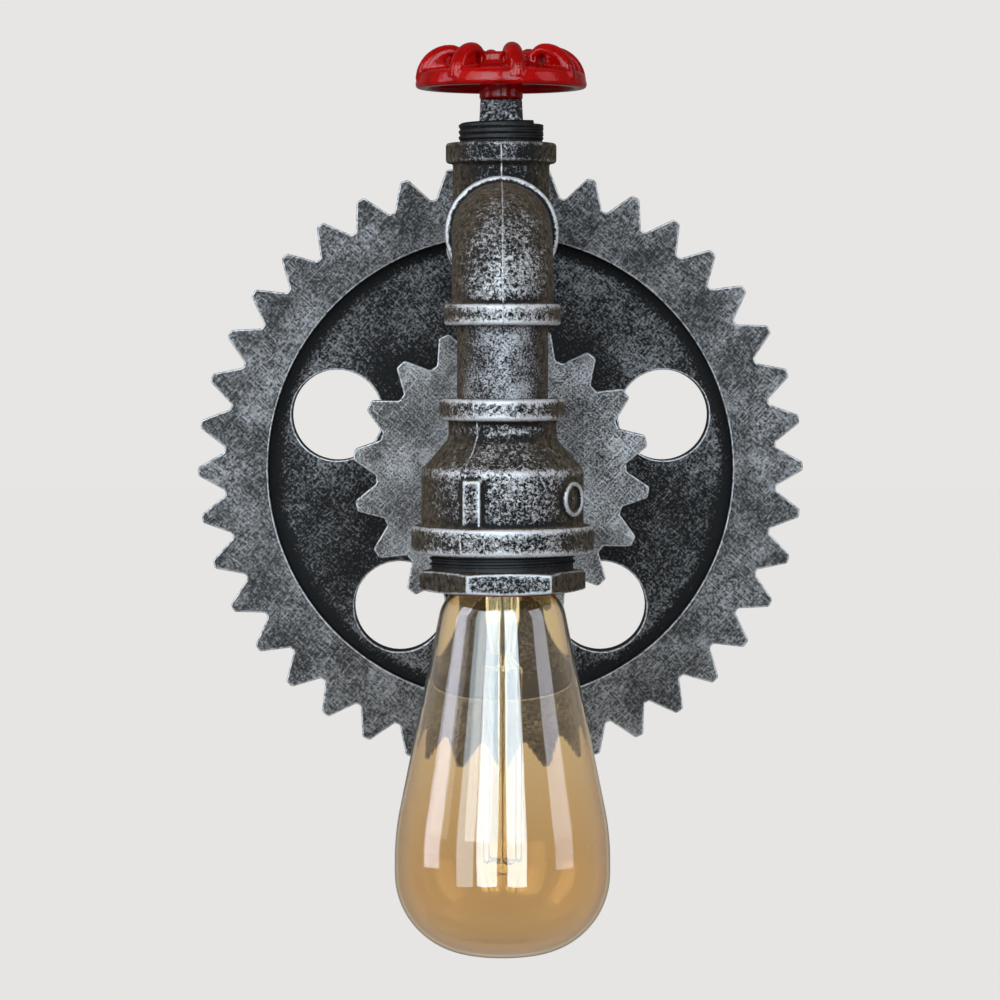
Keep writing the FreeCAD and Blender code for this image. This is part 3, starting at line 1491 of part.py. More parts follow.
def make_lamp_wire(label, side, pole):
    """One wire from a pole of the terminal block, through the rod and the pipe, to the lampholder."""
    near = S.wire_ahead.value
    start = pole * S.pole_pitch.value
    block_top = S.block_height.value / 2
    height = pipe_height.value
    across = side * S.wire_across.value
    ahead = drop_axis.value
    top = holder_top.value
    spread = side * S.holder_wire_across.value
    points = [
        Vector(start, -near, block_top - S.wire_hole_depth.value),
        Vector(start, -near, block_top + S.wire_hole_depth.value),
        Vector(across, -near, height),
        Vector(across, -ahead, height),
        Vector(across, -ahead, reducer_top.value),
        Vector(spread, -ahead, top + S.wire_hole_depth.value),
        Vector(spread, -ahead, top - S.wire_hole_depth.value),
    ]
    turn, spread_turn = S.wire_turn_radius.value, S.wire_spread_radius.value
    radii = [spread_turn, turn, S.elbow_bend.value, spread_turn, spread_turn]
    new_feature(label, tube_along(rounded_route(points, radii), S.wire_radius.value))


def make_earth_wire():
    """Short wire from the last pole of the terminal block to the earth screw in the strap."""
    near = S.wire_ahead.value
    low = S.strap_thickness.value + S.wire_radius.value
    pole = -S.pole_pitch.value
    screw = -S.ground_screw_across.value
    block_top = S.block_height.value / 2
    beside = screw - S.small_screw_radius.value - S.wire_radius.value - S.thread_gap.value
    points = [
        Vector(pole, -near, block_top - S.wire_hole_depth.value),
        Vector(pole, -near, block_top + 2 * S.wire_hole_depth.value),
        Vector(beside, -near, block_top + 2 * S.wire_hole_depth.value),
        Vector(beside, -low, block_top),
        Vector(beside, -low, -S.small_screw_head_radius.value),
    ]
    turn = S.wire_turn_radius.value / 2
    new_feature("wire_earth", tube_along(rounded_route(points, [turn] * 3), S.wire_radius.value))


make_wall_strap()
make_canopy()
make_canopy_side_screws()
make_canopy_gear_screws()
make_ground_screw()
make_terminal_block()
make_terminal_screws()
make_hollow_rod()
make_rod_washer()
make_rod_nuts()
make_tee_end_plug()
make_large_gear()
make_small_gear()
make_gear_spacer()
make_gear_bolt()
make_gear_washers()
make_gear_nut()
make_tee()
make_front_nipple()
make_elbow()
make_drop_nipple()
make_square_plug()
make_handwheel()
make_wheel_washer()
make_wheel_screw()
make_reducer()
make_hex_bushing()
make_bushing_seal()
make_holder_body()
make_holder_screws()
make_holder_shell()
make_holder_contact()
make_bulb_cap()
make_bulb_insulator()
make_bulb_contact()
make_bulb_glass()
make_bulb_stem()
make_filament()
make_leads()
make_lamp_wire("wire_live", -1, 0)
make_lamp_wire("wire_neutral", 1, 1)
make_earth_wire()
make_supports()
doc.recompute()

for item in doc.Objects:
    if "Invalid" in item.State or "Error" in item.State:
        raise RuntimeError("%s in %s failed" % (item.Name, item.InList))

for item in doc.Objects:
    if item.isDerivedFrom("PartDesign::Body") or item.TypeId == "Part::Feature":
        if item.Shape.isNull() or not item.Shape.isValid():
            raise RuntimeError("%s has no valid shape" % item.Label)
        item.Shape.exportStep("parts/%s.step" % item.Label)
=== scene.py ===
import math

import bmesh
import bpy
import numpy
from mathutils import Matrix, Vector, noise


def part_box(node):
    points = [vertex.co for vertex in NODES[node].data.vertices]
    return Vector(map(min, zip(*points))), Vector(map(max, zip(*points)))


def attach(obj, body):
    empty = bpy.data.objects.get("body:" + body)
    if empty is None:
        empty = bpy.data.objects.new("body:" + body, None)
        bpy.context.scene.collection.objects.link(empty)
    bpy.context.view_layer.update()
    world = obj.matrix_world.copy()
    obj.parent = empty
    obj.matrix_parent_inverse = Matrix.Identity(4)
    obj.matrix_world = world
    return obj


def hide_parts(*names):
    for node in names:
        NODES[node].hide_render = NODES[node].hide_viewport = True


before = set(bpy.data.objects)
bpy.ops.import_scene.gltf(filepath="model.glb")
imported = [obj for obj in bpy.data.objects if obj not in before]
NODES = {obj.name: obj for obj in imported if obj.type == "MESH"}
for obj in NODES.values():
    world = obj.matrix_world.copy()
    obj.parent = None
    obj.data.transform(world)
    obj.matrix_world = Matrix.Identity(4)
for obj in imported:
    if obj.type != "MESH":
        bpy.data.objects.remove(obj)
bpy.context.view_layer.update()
MM = 0.001

# Places and sizes of the light, in metres, in the frame of the solids.
# The drop pipe and the lamp hang at Y = DROP_AXIS, and the tee's branch stands at Y = TEE_AXIS.
DROP_AXIS = -0.129
TEE_AXIS = -0.0688
PIPE_HEIGHT = 0.02345
ELBOW_BEND = 0.020
FITTING_RADIUS = 0.015
BAND_RADIUS = 0.0172
GEAR_HEIGHT = -0.050
RECESS_RADIUS = 0.0743
PINION_RADIUS = 0.0459

# Above the bushing's hexagon and below the plug's square are the black threads.
HEX_TOP = -0.07655
PLUG_THREAD_TOP = 0.0580
STEP_SLACK = 0.15 * MM

# Outline of the bulb: radius, height and rounding, from its base up to its neck.
BULB_BASE = -0.19155
BULB_MIDDLE = -0.14
BULB_WALL = 0.9 * MM
BULB_OUTLINE = [
    (0.0054, BULB_BASE, 0.050),
    (0.0320, BULB_BASE + 0.0046, 0.024),
    (0.0320, BULB_BASE + 0.0363, 0.076),
    (0.0182, -0.0872, 0.012),
    (0.0124, -0.07975, 0.002),
]
NECK_TOP = -0.07555

# Surroundings: their colour, how bright they are as light, and the floor under the light.
PALE = (0.80, 0.79, 0.775)
SURROUND = 0.25
FLOOR_HEIGHT = -1.75
FLOOR_REACH = 40.0
FLOOR_SHADE = 0.86
FLOOR_GLOW = 0.85
FLOOR_TRIM = 0.992


# Shader helpers

class Shader:
    """A material under construction, with short calls for the nodes that it is made of."""

    def __init__(self, name):
        self.material = bpy.data.materials.new(name)
        self.material.use_nodes = True
        self.tree = self.material.node_tree
        self.surface = self.tree.nodes["Principled BSDF"]
        self.place = self.tree.nodes.new("ShaderNodeTexCoord").outputs["Object"]

    def link(self, source, target):
        self.tree.links.new(source, target)

    def set(self, **values):
        for name, value in values.items():
            self.surface.inputs[name.replace("_", " ").title().replace("Ior", "IOR")].default_value = value

    def node(self, kind, inputs=(), **settings):
        made = self.tree.nodes.new("ShaderNode" + kind)
        for name, value in settings.items():
            setattr(made, name, value)
        for socket, value in dict(inputs).items():
            if isinstance(value, bpy.types.NodeSocket):
                self.link(value, made.inputs[socket])
            else:
                made.inputs[socket].default_value = value
        return made

    def noise(self, size, detail=3.0, rough=0.55, place=None, warp=0.0):
        """Noise whose features are about this many metres across."""
        inputs = {"Scale": 1 / size, "Detail": detail, "Roughness": rough, "Distortion": warp,
                  "Vector": place or self.place}
        return self.node("TexNoise", inputs).outputs["Fac"]

    def strokes(self, size, length, turn):
        """Brush strokes of this width and length, turned in the upright plane."""
        spun = self.node("Mapping", {"Vector": self.place, "Rotation": (0, turn, 0),
                                     "Scale": (length / size, 1, 1)}, vector_type="TEXTURE")
        return self.noise(size, 2.0, 0.5, spun.outputs["Vector"])

    def lit_front(self):
        """One where a surface faces the room, falling to nothing round its sides: where the painted shade on
        the sides is least.
        """
        normal = self.tree.nodes.new("ShaderNodeTexCoord").outputs["Normal"]
        parts = self.node("SeparateXYZ", {0: normal})
        return self.ramp(self.math("MULTIPLY", parts.outputs["Y"], -1.0), 0.35, 0.98)

    def wear_and_shading(self):
        """Above nothing on proud places, below it in hollows; it brings wear and a painted highlight to the
        one and painted shade to the other.
        """
        return self.node("Attribute", attribute_name="wear_and_shading").outputs["Fac"]

    def math(self, kind, first, second=0.0):
        return self.node("Math", {0: first, 1: second}, operation=kind).outputs[0]

    def sway(self, value, other, middle, amount):
        """The value, raised where the other one is above its middle and lowered where it is below."""
        return self.math("ADD", value, self.math("MULTIPLY", self.math("SUBTRACT", other, middle), amount))

    def ramp(self, value, low, high, to_low=0.0, to_high=1.0):
        """A soft step between two results as the value goes from low to high."""
        inputs = {"Value": value, "From Min": low, "From Max": high, "To Min": to_low, "To Max": to_high}
        return self.node("MapRange", inputs, interpolation_type="SMOOTHSTEP").outputs["Result"]

    def blend(self, factor, first, second):
        made = self.node("Mix", data_type="RGBA")
        for socket, value in ((made.inputs[0], factor), (made.inputs[6], first), (made.inputs[7], second)):
            if isinstance(value, bpy.types.NodeSocket):
                self.link(value, socket)
            else:
                socket.default_value = value if socket is made.inputs[0] else (*value, 1)
        return made.outputs[2]

    def bump(self, height, depth, strength=1.0):
        made = self.node("Bump", {"Height": height, "Distance": depth, "Strength": strength})
        self.link(made.outputs["Normal"], self.surface.inputs["Normal"])

    def drive(self, socket, value):
        self.link(value, self.surface.inputs[socket])


def cast_iron(name, dark, light, middle, spread, grain=0.55 * MM, patch=8 * MM, uneven=0.3, stroke=0.0,
              sides=0.0, rubbed=0.0, warp=0.0, recess_shaded=False):
    """Blackened casting, dry-brushed with silver.

    The silver lies in fine flecks, thicker in some patches. Proud edges take more silver, as wear and
    as a painted highlight, and hollows less, as painted shade. Round the sides, where the surface turns
    from the room, the flecks thin out and the black turns brown: painted shade.
    """
    s = Shader(name)
    flecks = s.noise(grain, 3.0, 0.6, warp=warp)
    value = s.sway(flecks, s.noise(patch, 2.0), 0.5, uneven)
    if stroke:
        rising, falling = (s.strokes(grain / 2, grain * 9, turn) for turn in (0.75, -0.85))
        value = s.sway(value, s.math("MAXIMUM", rising, falling), 0.55, stroke)
    # Painted shadow in the corner under the rim and behind the small gear.
    if recess_shaded:
        value = s.math("ADD", value, recess_shade(s))
    base = dark
    # Painted shade round the sides: fewer flecks and a brown base where the surface turns from the room.
    if sides:
        lit_front = s.lit_front()
        value = s.sway(value, lit_front, 1.0, sides)
        side_shade_mottle = s.ramp(s.noise(1.6 * MM, 4.0, 0.7), 0.35, 0.65)
        base = s.blend(lit_front, s.blend(side_shade_mottle, (0.037, 0.031, 0.024), (0.165, 0.134, 0.096)), dark)
    # Wear and a painted highlight on proud places, painted shade in hollows.
    if rubbed:
        value = s.sway(value, s.wear_and_shading(), 0.0, rubbed)
    silver = s.ramp(value, middle - spread, middle + spread)
    s.drive("Base Color", s.blend(silver, base, light))
    s.drive("Metallic", s.ramp(silver, 0.0, 1.0, 0.0, 0.15))
    s.drive("Roughness", s.ramp(silver, 0.0, 1.0, 0.60, 0.42))
    s.set(specular_ior_level=0.06)
    s.bump(s.math("ADD", s.math("MULTIPLY", flecks, 0.6), s.noise(grain * 3, 2.0)), 0.30 * MM, 0.6)
    return s.material


def recess_shade(s):
    """Below nothing where painted shadow falls: in the corner under the rim and behind the small gear."""
    flat = s.node("Mapping", {"Vector": s.place, "Location": (0, 0, -GEAR_HEIGHT), "Scale": (1, 0, 1)})
    radius = s.node("VectorMath", {0: flat.outputs["Vector"]}, operation="LENGTH").outputs["Value"]
    corner = s.ramp(radius, RECESS_RADIUS - 5.5 * MM, RECESS_RADIUS - 1.0 * MM, 0.0, -0.30)
    # Painted shadow of the small gear on the web.
    pinion_shadow = s.ramp(radius, PINION_RADIUS - 2 * MM, PINION_RADIUS + 9 * MM, -0.10, 0.0)
    return s.math("ADD", corner, pinion_shadow)


def worn_edge(name):
    """Edge where the silver lies thickest, broken here and there."""
    s = Shader(name)
    breaks = s.ramp(s.noise(0.9 * MM, 4.0, 0.7), 0.36, 0.56)
    s.drive("Base Color", s.blend(breaks, (0.12, 0.12, 0.125), (0.62, 0.63, 0.65)))
    s.set(metallic=0.25, roughness=0.45, specular_ior_level=0.3)
    s.bump(s.noise(0.8 * MM), 0.1 * MM, 0.4)
    return s.material


def black_coat(name, colour=(0.006, 0.006, 0.007), rough=0.45):
    """Black paint with dust in it and rubbed high spots."""
    s = Shader(name)
    dust = s.noise(0.8 * MM, 4.0, 0.7)
    rubbed = s.ramp(dust, 0.56, 0.72, 0.0, 0.45)
    s.drive("Base Color", s.blend(rubbed, colour, (0.16, 0.16, 0.17)))
    s.drive("Roughness", s.ramp(dust, 0.3, 0.7, rough - 0.06, rough + 0.12))
    s.set(metallic=0.0, specular_ior_level=0.18)
    s.bump(s.noise(1.6 * MM), 0.08 * MM, 0.4)
    return s.material


def red_enamel(name):
    """Glossy red enamel over a rough casting, darker where it has run thin."""
    s = Shader(name)
    tone = s.noise(6 * MM, 3.0)
    chips = s.ramp(s.noise(1.1 * MM, 5.0, 0.7), 0.71, 0.74, 0.0, 0.8)
    red = s.blend(s.ramp(tone, 0.35, 0.65), (0.42, 0.0015, 0.0012), (0.62, 0.0030, 0.0025))
    s.drive("Base Color", s.blend(chips, red, (0.10, 0.006, 0.005)))
    s.drive("Roughness", s.ramp(s.noise(2.5 * MM), 0.3, 0.7, 0.10, 0.20))
    s.set(specular_ior_level=0.10, coat_weight=0.12, coat_roughness=0.02)
    s.bump(s.noise(2.2 * MM, 2.0), 0.30 * MM, 0.55)
    return s.material


def plated(name, colour, rough=0.3, metallic=1.0):
    """Plated or plain metal with fine turning marks and a few dull spots."""
    s = Shader(name)
    spots = s.noise(1.5 * MM, 4.0, 0.6)
    shade = tuple(c * 0.7 for c in colour)
    s.drive("Base Color", s.blend(s.ramp(spots, 0.4, 0.7), colour, shade))
    s.drive("Roughness", s.ramp(spots, 0.3, 0.7, rough, rough + 0.18))
    s.set(metallic=metallic)
    s.bump(s.strokes(0.15 * MM, 3 * MM, 0.0), 0.02 * MM, 0.3)
    return s.material


def amber_glass(name):
    """Inner skin of the bulb's wall, which holds the colour: deeper low down, lighter along the wall."""
    s = Shader(name)
    edge = s.node("LayerWeight", {"Blend": 0.35}).outputs["Facing"]
    height = s.node("SeparateXYZ", {0: s.place}).outputs["Z"]
    low = s.ramp(height, -0.10, -0.17)
    middle = s.blend(low, (0.74, 0.56, 0.29), (0.56, 0.32, 0.10))
    depth = s.sway(edge, s.noise(30 * MM, 2.0), 0.0, 0.15)
    s.drive("Base Color", s.blend(s.ramp(depth, 0.20, 0.80), middle, (0.52, 0.31, 0.10)))
    s.drive("Roughness", s.ramp(s.noise(20 * MM, 2.0), 0.3, 0.7, 0.0, 0.012))
    s.set(transmission_weight=1.0, ior=1.5)
    s.bump(s.noise(16 * MM, 1.0), 0.05 * MM, 0.25)
    return s.material


def glass_skin(name):
    """Outer skin of the bulb's wall: clear in front, with the slight waves of blown glass."""
    s = Shader(name)
    edge = s.node("LayerWeight", {"Blend": 0.30}).outputs["Facing"]
    s.drive("Base Color", s.blend(s.ramp(edge, 0.30, 0.60), (0.99, 0.99, 0.97), (0.50, 0.31, 0.13)))
    s.drive("Roughness", s.ramp(s.noise(25 * MM, 2.0), 0.4, 0.8, 0.0, 0.02))
    s.set(transmission_weight=1.0, ior=1.5)
    s.bump(s.noise(18 * MM, 1.0), 0.05 * MM, 0.25)
    return s.material


def clear_glass(name):
    """Clear glass of the lamp's stem, a little wavy."""
    s = Shader(name)
    s.drive("Roughness", s.ramp(s.noise(4 * MM), 0.3, 0.7, 0.0, 0.03))
    s.set(base_color=(0.97, 0.97, 0.95, 1), transmission_weight=1.0, ior=1.5)
    s.bump(s.noise(3 * MM, 1.0), 0.05 * MM, 0.3)
    return s.material


def moulded(name, colour, rough=0.45):
    """Plastic, rubber or glaze: even colour with faint mottling."""
    s = Shader(name)
    shade = tuple(c * 0.82 for c in colour)
    s.drive("Base Color", s.blend(s.ramp(s.noise(2.5 * MM, 3.0), 0.35, 0.7), colour, shade))
    s.drive("Roughness", s.ramp(s.noise(1.2 * MM), 0.3, 0.7, rough - 0.05, rough + 0.08))
    s.bump(s.noise(0.9 * MM), 0.04 * MM, 0.4)
    return s.material


MATERIALS = {
    "rim_iron": cast_iron("rim_iron", (0.044, 0.047, 0.050), (0.36, 0.37, 0.385), 0.56, 0.24,
                          grain=0.62 * MM, patch=15 * MM, uneven=0.50, stroke=1.1),
    "web_iron": cast_iron("web_iron", (0.012, 0.013, 0.014), (0.28, 0.29, 0.305), 0.585, 0.20,
                          grain=0.65 * MM, patch=22 * MM, uneven=0.50, stroke=0.8, recess_shaded=True),
    "pinion_iron": cast_iron("pinion_iron", (0.064, 0.067, 0.071), (0.54, 0.555, 0.575), 0.53, 0.26,
                             grain=0.62 * MM, patch=14 * MM, uneven=0.55, stroke=1.1),
    "fitting_iron": cast_iron("fitting_iron", (0.009, 0.010, 0.012), (0.69, 0.71, 0.74), 0.585, 0.145,
                              grain=0.95 * MM, uneven=0.28, sides=0.17, rubbed=0.32, warp=1.0),
    # A darker copy of fitting_iron with less silver: painted shade, for the tee sitting back behind the
    # elbow.
    "shaded_tee_iron": cast_iron("shaded_tee_iron", (0.008, 0.009, 0.011), (0.46, 0.48, 0.51), 0.65, 0.14,
                          grain=0.9 * MM, uneven=0.5, sides=0.14, rubbed=0.17, warp=1.0),
    "hex_iron": cast_iron("hex_iron", (0.014, 0.015, 0.017), (0.58, 0.60, 0.63), 0.57, 0.14,
                          grain=0.9 * MM, uneven=0.2, sides=0.26, rubbed=0.38, warp=1.0),
    "plug_iron": cast_iron("plug_iron", (0.018, 0.020, 0.023), (0.50, 0.52, 0.55), 0.56, 0.15,
                           grain=0.8 * MM, uneven=0.3, sides=0.14),
    "tooth_side": cast_iron("tooth_side", (0.010, 0.010, 0.011), (0.20, 0.21, 0.22), 0.68, 0.12),
    "edge": worn_edge("edge"),
    "thread_black": black_coat("thread_black"),
    "black_steel": black_coat("black_steel", (0.02, 0.02, 0.022), 0.35),
    "zinc": plated("zinc", (0.62, 0.63, 0.66)),
    "brass": plated("brass", (0.78, 0.58, 0.27), 0.24),
    "solder": plated("solder", (0.62, 0.62, 0.63), 0.4),
    "earth_green": plated("earth_green", (0.05, 0.30, 0.10), 0.35, 0.6),
    "pipe": cast_iron("pipe", (0.022, 0.024, 0.028), (0.48, 0.50, 0.535), 0.52, 0.17, grain=0.6 * MM,
                      uneven=0.55, stroke=0.6, sides=0.22),
    "red": red_enamel("red"),
    "amber": amber_glass("amber"),
    "glass_skin": glass_skin("glass_skin"),
    "clear": clear_glass("clear"),
    "porcelain": moulded("porcelain", (0.88, 0.87, 0.83), 0.22),
    "block": moulded("block", (0.80, 0.80, 0.77), 0.40),
    "black_glass": moulded("black_glass", (0.008, 0.008, 0.010), 0.15),
    "seal": moulded("seal", (0.28, 0.02, 0.015), 0.55),
    "wire_brown": moulded("wire_brown", (0.16, 0.06, 0.03)),
    "wire_blue": moulded("wire_blue", (0.03, 0.10, 0.38)),
    "wire_green": moulded("wire_green", (0.12, 0.40, 0.06)),
    "support": plated("support", (0.50, 0.48, 0.45), 0.35),
    "filament": plated("filament", (0.30, 0.20, 0.10), 0.5),
}

NODE_MATERIALS = {
    "thread_black": ("tee_end_plug", "front_nipple"),
    "black_steel": ("canopy", "canopy_side_screws", "gear_spacer", "gear_washers", "gear_nut"),
    "zinc": ("wall_strap", "canopy_gear_screws", "hollow_rod", "rod_washer", "rod_nuts", "wheel_washer",
             "wheel_screw"),
    "brass": ("terminal_screws", "holder_screws", "holder_shell", "holder_contact", "bulb_cap"),
    "solder": ("bulb_contact",),
    "earth_green": ("ground_screw",),
    "pipe": ("drop_nipple",),
    "porcelain": ("holder_body",),
    "block": ("terminal_block",),
    "black_glass": ("bulb_insulator",),
    "seal": ("bushing_seal",),
    "wire_brown": ("wire_live",),
    "wire_blue": ("wire_neutral",),
    "wire_green": ("wire_earth",),
    "support": ("bulb_support_top", "bulb_support_low", "bulb_leads"),
    "filament": ("bulb_filament",),
}


# Pieces

def new_piece(name, mesh, body, materials):
    """A mesh object that rides on a body, with these materials in its slots."""
    mesh.materials.clear()
    for material in materials:
        mesh.materials.append(MATERIALS[material])
    piece = bpy.data.objects.new(name, mesh)
    bpy.context.scene.collection.objects.link(piece)
    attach(piece, body)
    return piece


def clean_copy(node):
    """A copy of a solid's mesh, welded, with its flat faces whole."""
    mesh = NODES[node].data.copy()
    work = bmesh.new()
    work.from_mesh(mesh)
    bmesh.ops.remove_doubles(work, verts=work.verts, dist=1e-6)
    bmesh.ops.dissolve_limit(work, angle_limit=math.radians(0.3), verts=work.verts, edges=work.edges)
    for face in work.faces:
        face.material_index = 0
    work.to_mesh(mesh)
    work.free()
    return mesh


def shown_mesh(piece):
    """The mesh that an object shows, with its modifiers or its curve's thickness."""
    return bpy.data.meshes.new_from_object(piece.evaluated_get(bpy.context.evaluated_depsgraph_get()))


def apply_modifiers(piece):
    mesh = shown_mesh(piece)
    piece.modifiers.clear()
    piece.data = mesh
    return mesh


def round_edges(piece, width):
    """Round the sharp edges; the rounded strips get the piece's second material."""
    bevel = piece.modifiers.new("round", "BEVEL")
    bevel.width = width
    bevel.segments = 3
    bevel.limit_method = "ANGLE"
    bevel.angle_limit = math.radians(32)
    bevel.material = 1
    bevel.miter_outer = "MITER_ARC"
    bevel.use_clamp_overlap = False
    shade = piece.modifiers.new("shade", "WEIGHTED_NORMAL")
    shade.keep_sharp = True
    piece.data.shade_smooth()
    mesh = apply_modifiers(piece)
    mesh.set_sharp_from_angle(angle=math.radians(50))


def paint_faces(mesh, index, test, only=0):
    """Give the faces of one material that pass a test, by centre and normal, another material."""
    for face in mesh.polygons:
        if face.material_index == only and test(face.center, face.normal):
            face.material_index = index


def dress_casting(node, name, materials, width):
    """A solid with its sharp edges rounded to this width."""
    piece = new_piece(name, clean_copy(node), "light", materials)
    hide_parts(node)
    round_edges(piece, width)
    return piece


def on_side(centre, normal):
    return abs(normal.y) < 0.5


def dress_large_gear():
    """The large gear: silver rim, dark web with painted shadow in the corner round it, and black tooth sides.
    """
    materials = ["rim_iron", "edge", "web_iron", "tooth_side"]
    piece = dress_casting("large_gear", "gear_large", materials, 0.45 * MM)
    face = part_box("large_gear")[0].y

    def in_recess(centre, normal):
        return normal.y < -0.9 and centre.y > face + MM

    def in_corner(centre, normal):
        outward = math.hypot(centre.x, centre.z - GEAR_HEIGHT) - RECESS_RADIUS
        return centre.y > face + 3 * MM and -1.5 * MM < outward < 0.5 * MM

    paint_faces(piece.data, 2, in_recess)
    paint_faces(piece.data, 3, on_side)
    paint_faces(piece.data, 2, in_corner, only=1)


def dress_small_gear():
    materials = ["pinion_iron", "edge", "tooth_side"]
    piece = dress_casting("small_gear", "gear_small", materials, 0.4 * MM)
    paint_faces(piece.data, 2, on_side)


def recast(node, name, body, materials, voxel, rounds):
    """A solid as one soft casting: its forms run into each other as in a mould."""
    piece = new_piece(name, clean_copy(node), body, materials)
    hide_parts(node)
    remesh = piece.modifiers.new("remesh", "REMESH")
    remesh.mode = "VOXEL"
    remesh.voxel_size = voxel
    soften = piece.modifiers.new("soften", "SMOOTH")
    soften.factor = 0.6
    soften.iterations = rounds
    mesh = apply_modifiers(piece)
    mesh.shade_smooth()
    return mesh


def mark_wear_and_shading(mesh, rounds, height):
    """Store how far each point stands proud of the surface evened out around it, as a share of a height."""
    count = len(mesh.vertices)
    places = numpy.empty(count * 3)
    mesh.vertices.foreach_get("co", places)
    places = places.reshape(-1, 3)
    outward = numpy.empty(count * 3)
    mesh.vertex_normals.foreach_get("vector", outward)
    ends = numpy.empty(len(mesh.edges) * 2, dtype=numpy.int32)
    mesh.edges.foreach_get("vertices", ends)
    one, other = ends.reshape(-1, 2).T
    links = numpy.bincount(ends, minlength=count)
    even = places.copy()
    for _ in range(rounds):
        for axis in range(3):
            total = numpy.bincount(one, even[other, axis], count)
            total += numpy.bincount(other, even[one, axis], count)
            even[:, axis] = (even[:, axis] + total / links) / 2
    proud = ((places - even) * outward.reshape(-1, 3)).sum(axis=1) / height
    stored = mesh.attributes.new("wear_and_shading", "FLOAT", "POINT")
    stored.data.foreach_set("value", numpy.clip(proud, -1.0, 1.0).astype(numpy.float32))


def dress_fittings():
    # The stored proudness gives wear and a painted highlight on proud places, and painted shade in hollows.
    for node in ("elbow", "reducer"):
        casting = recast(node, "fitting_" + node, "light", ["fitting_iron"],
                         voxel=0.40 * MM, rounds=3)
        mark_wear_and_shading(casting, rounds=40, height=0.35 * MM)
    tee = recast("tee", "fitting_tee", "light", ["shaded_tee_iron"], voxel=0.40 * MM, rounds=3)
    mark_wear_and_shading(tee, rounds=5, height=0.06 * MM)
    bushing = recast("hex_bushing", "fitting_bushing", "light", ["hex_iron", "thread_black"],
                     voxel=0.30 * MM, rounds=2)
    mark_wear_and_shading(bushing, rounds=10, height=0.08 * MM)
    paint_faces(bushing, 1, lambda centre, normal: centre.z > HEX_TOP + STEP_SLACK)
    plug = recast("square_plug", "plug_square", "light", ["plug_iron", "thread_black"],
                  voxel=0.30 * MM, rounds=3)
    paint_faces(plug, 1, lambda centre, normal: centre.z < PLUG_THREAD_TOP + STEP_SLACK)
    dress_casting("gear_bolt", "gear_centre_bolt", ["black_steel", "edge"], 0.2 * MM)


def dress_handwheel():
    recast("handwheel", "wheel_casting", "hand_wheel", ["red"], voxel=0.42 * MM, rounds=9)


def arc_points(before, corner, after, radius, steps):
    """Points along the arc that rounds a corner."""
    back = (before - corner).normalized()
    on = (after - corner).normalized()
    half = back.angle(on) / 2
    reach = radius / math.tan(half)
    start, end = corner + back * reach, corner + on * reach
    centre = corner + (back + on).normalized() * (radius / math.sin(half))
    first, last = start - centre, end - centre
    turn = first.angle_signed(last)
    return [centre + Matrix.Rotation(-turn * k / steps, 2) @ first for k in range(steps + 1)]


def rounded_profile(corners, steps=24):
    """Points of an outline (radius, height), with corners (r, z, rounding) rounded."""
    points = [Vector(corner[:2]) for corner in corners]
    profile = []
    for i, corner in enumerate(corners):
        if len(corner) == 3:
            profile += arc_points(points[i - 1], points[i], points[i + 1], corner[2], steps)
        else:
            profile.append(points[i])
    return profile


def finished_mesh(name, work):
    """The mesh of what was drawn, with its faces turned outward."""
    bmesh.ops.recalc_face_normals(work, faces=work.faces)
    mesh = bpy.data.meshes.new(name)
    work.to_mesh(mesh)
    work.free()
    return mesh


def lathe(name, profile, steps=128):
    """Turn an outline about the lamp's axis. A point on the axis closes the shape there."""
    work = bmesh.new()
    rings = []
    for radius, height in profile:
        if radius < 1e-7:
            rings.append([work.verts.new((0, DROP_AXIS, height))])
            continue
        ring = []
        for k in range(steps):
            angle = 2 * math.pi * k / steps
            x, y = radius * math.cos(angle), DROP_AXIS + radius * math.sin(angle)
            ring.append(work.verts.new((x, y, height)))
        rings.append(ring)
    for low, high in zip(rings, rings[1:]):
        for k in range(steps):
            foot = [low[k % len(low)], low[(k + 1) % len(low)]]
            head = [high[(k + 1) % len(high)], high[k % len(high)]]
            corners = list(dict.fromkeys(foot + head))
            if len(corners) > 2:
                work.faces.new(corners)
    mesh = finished_mesh(name, work)
    mesh.shade_smooth()
    return mesh


def bulb_profile(wall):
    """The bulb's outline this far inside its outer surface."""
    corners = [(0.0, BULB_BASE + wall)]
    for number, (radius, height, rounding) in enumerate(BULB_OUTLINE):
        if number < 2:
            height += wall
        if number:
            radius -= wall
        corners.append((radius, height, rounding - wall if number < 3 else rounding))
    corners.append((BULB_OUTLINE[-1][0] - wall, NECK_TOP))
    return rounded_profile(corners)


def make_bulb():
    """The bulb's wall, whose inner skin holds the tint."""
    outer = bulb_profile(0.0)
    inner = bulb_profile(BULB_WALL)
    mesh = lathe("lamp_glass", outer + inner[::-1])
    piece = new_piece("lamp_glass", mesh, "lamp", ["glass_skin", "amber"])
    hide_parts("bulb_glass")
    middle = Vector((0, DROP_AXIS, BULB_MIDDLE))
    paint_faces(mesh, 1, lambda centre, normal: (centre - middle).dot(normal) < 0)


def make_stem():
    """Glass stem: a flare in the neck, a tube and a thin rod."""
    top, tube_end, rod_end = NECK_TOP, -0.10155, -0.16755
    mesh = lathe("lamp_stem", rounded_profile([
        (0.0, rod_end),
        (0.0013, rod_end, 0.0010),
        (0.0013, tube_end, 0.0006),
        (0.0035, tube_end, 0.0010),
        (0.0050, tube_end + 0.010, 0.010),
        (0.0050, top - 0.005, 0.0013),
        (0.01145, top),
        (0.0, top),
    ], 6), 64)
    piece = new_piece("lamp_stem", mesh, "lamp", ["clear"])
    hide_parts("bulb_stem")


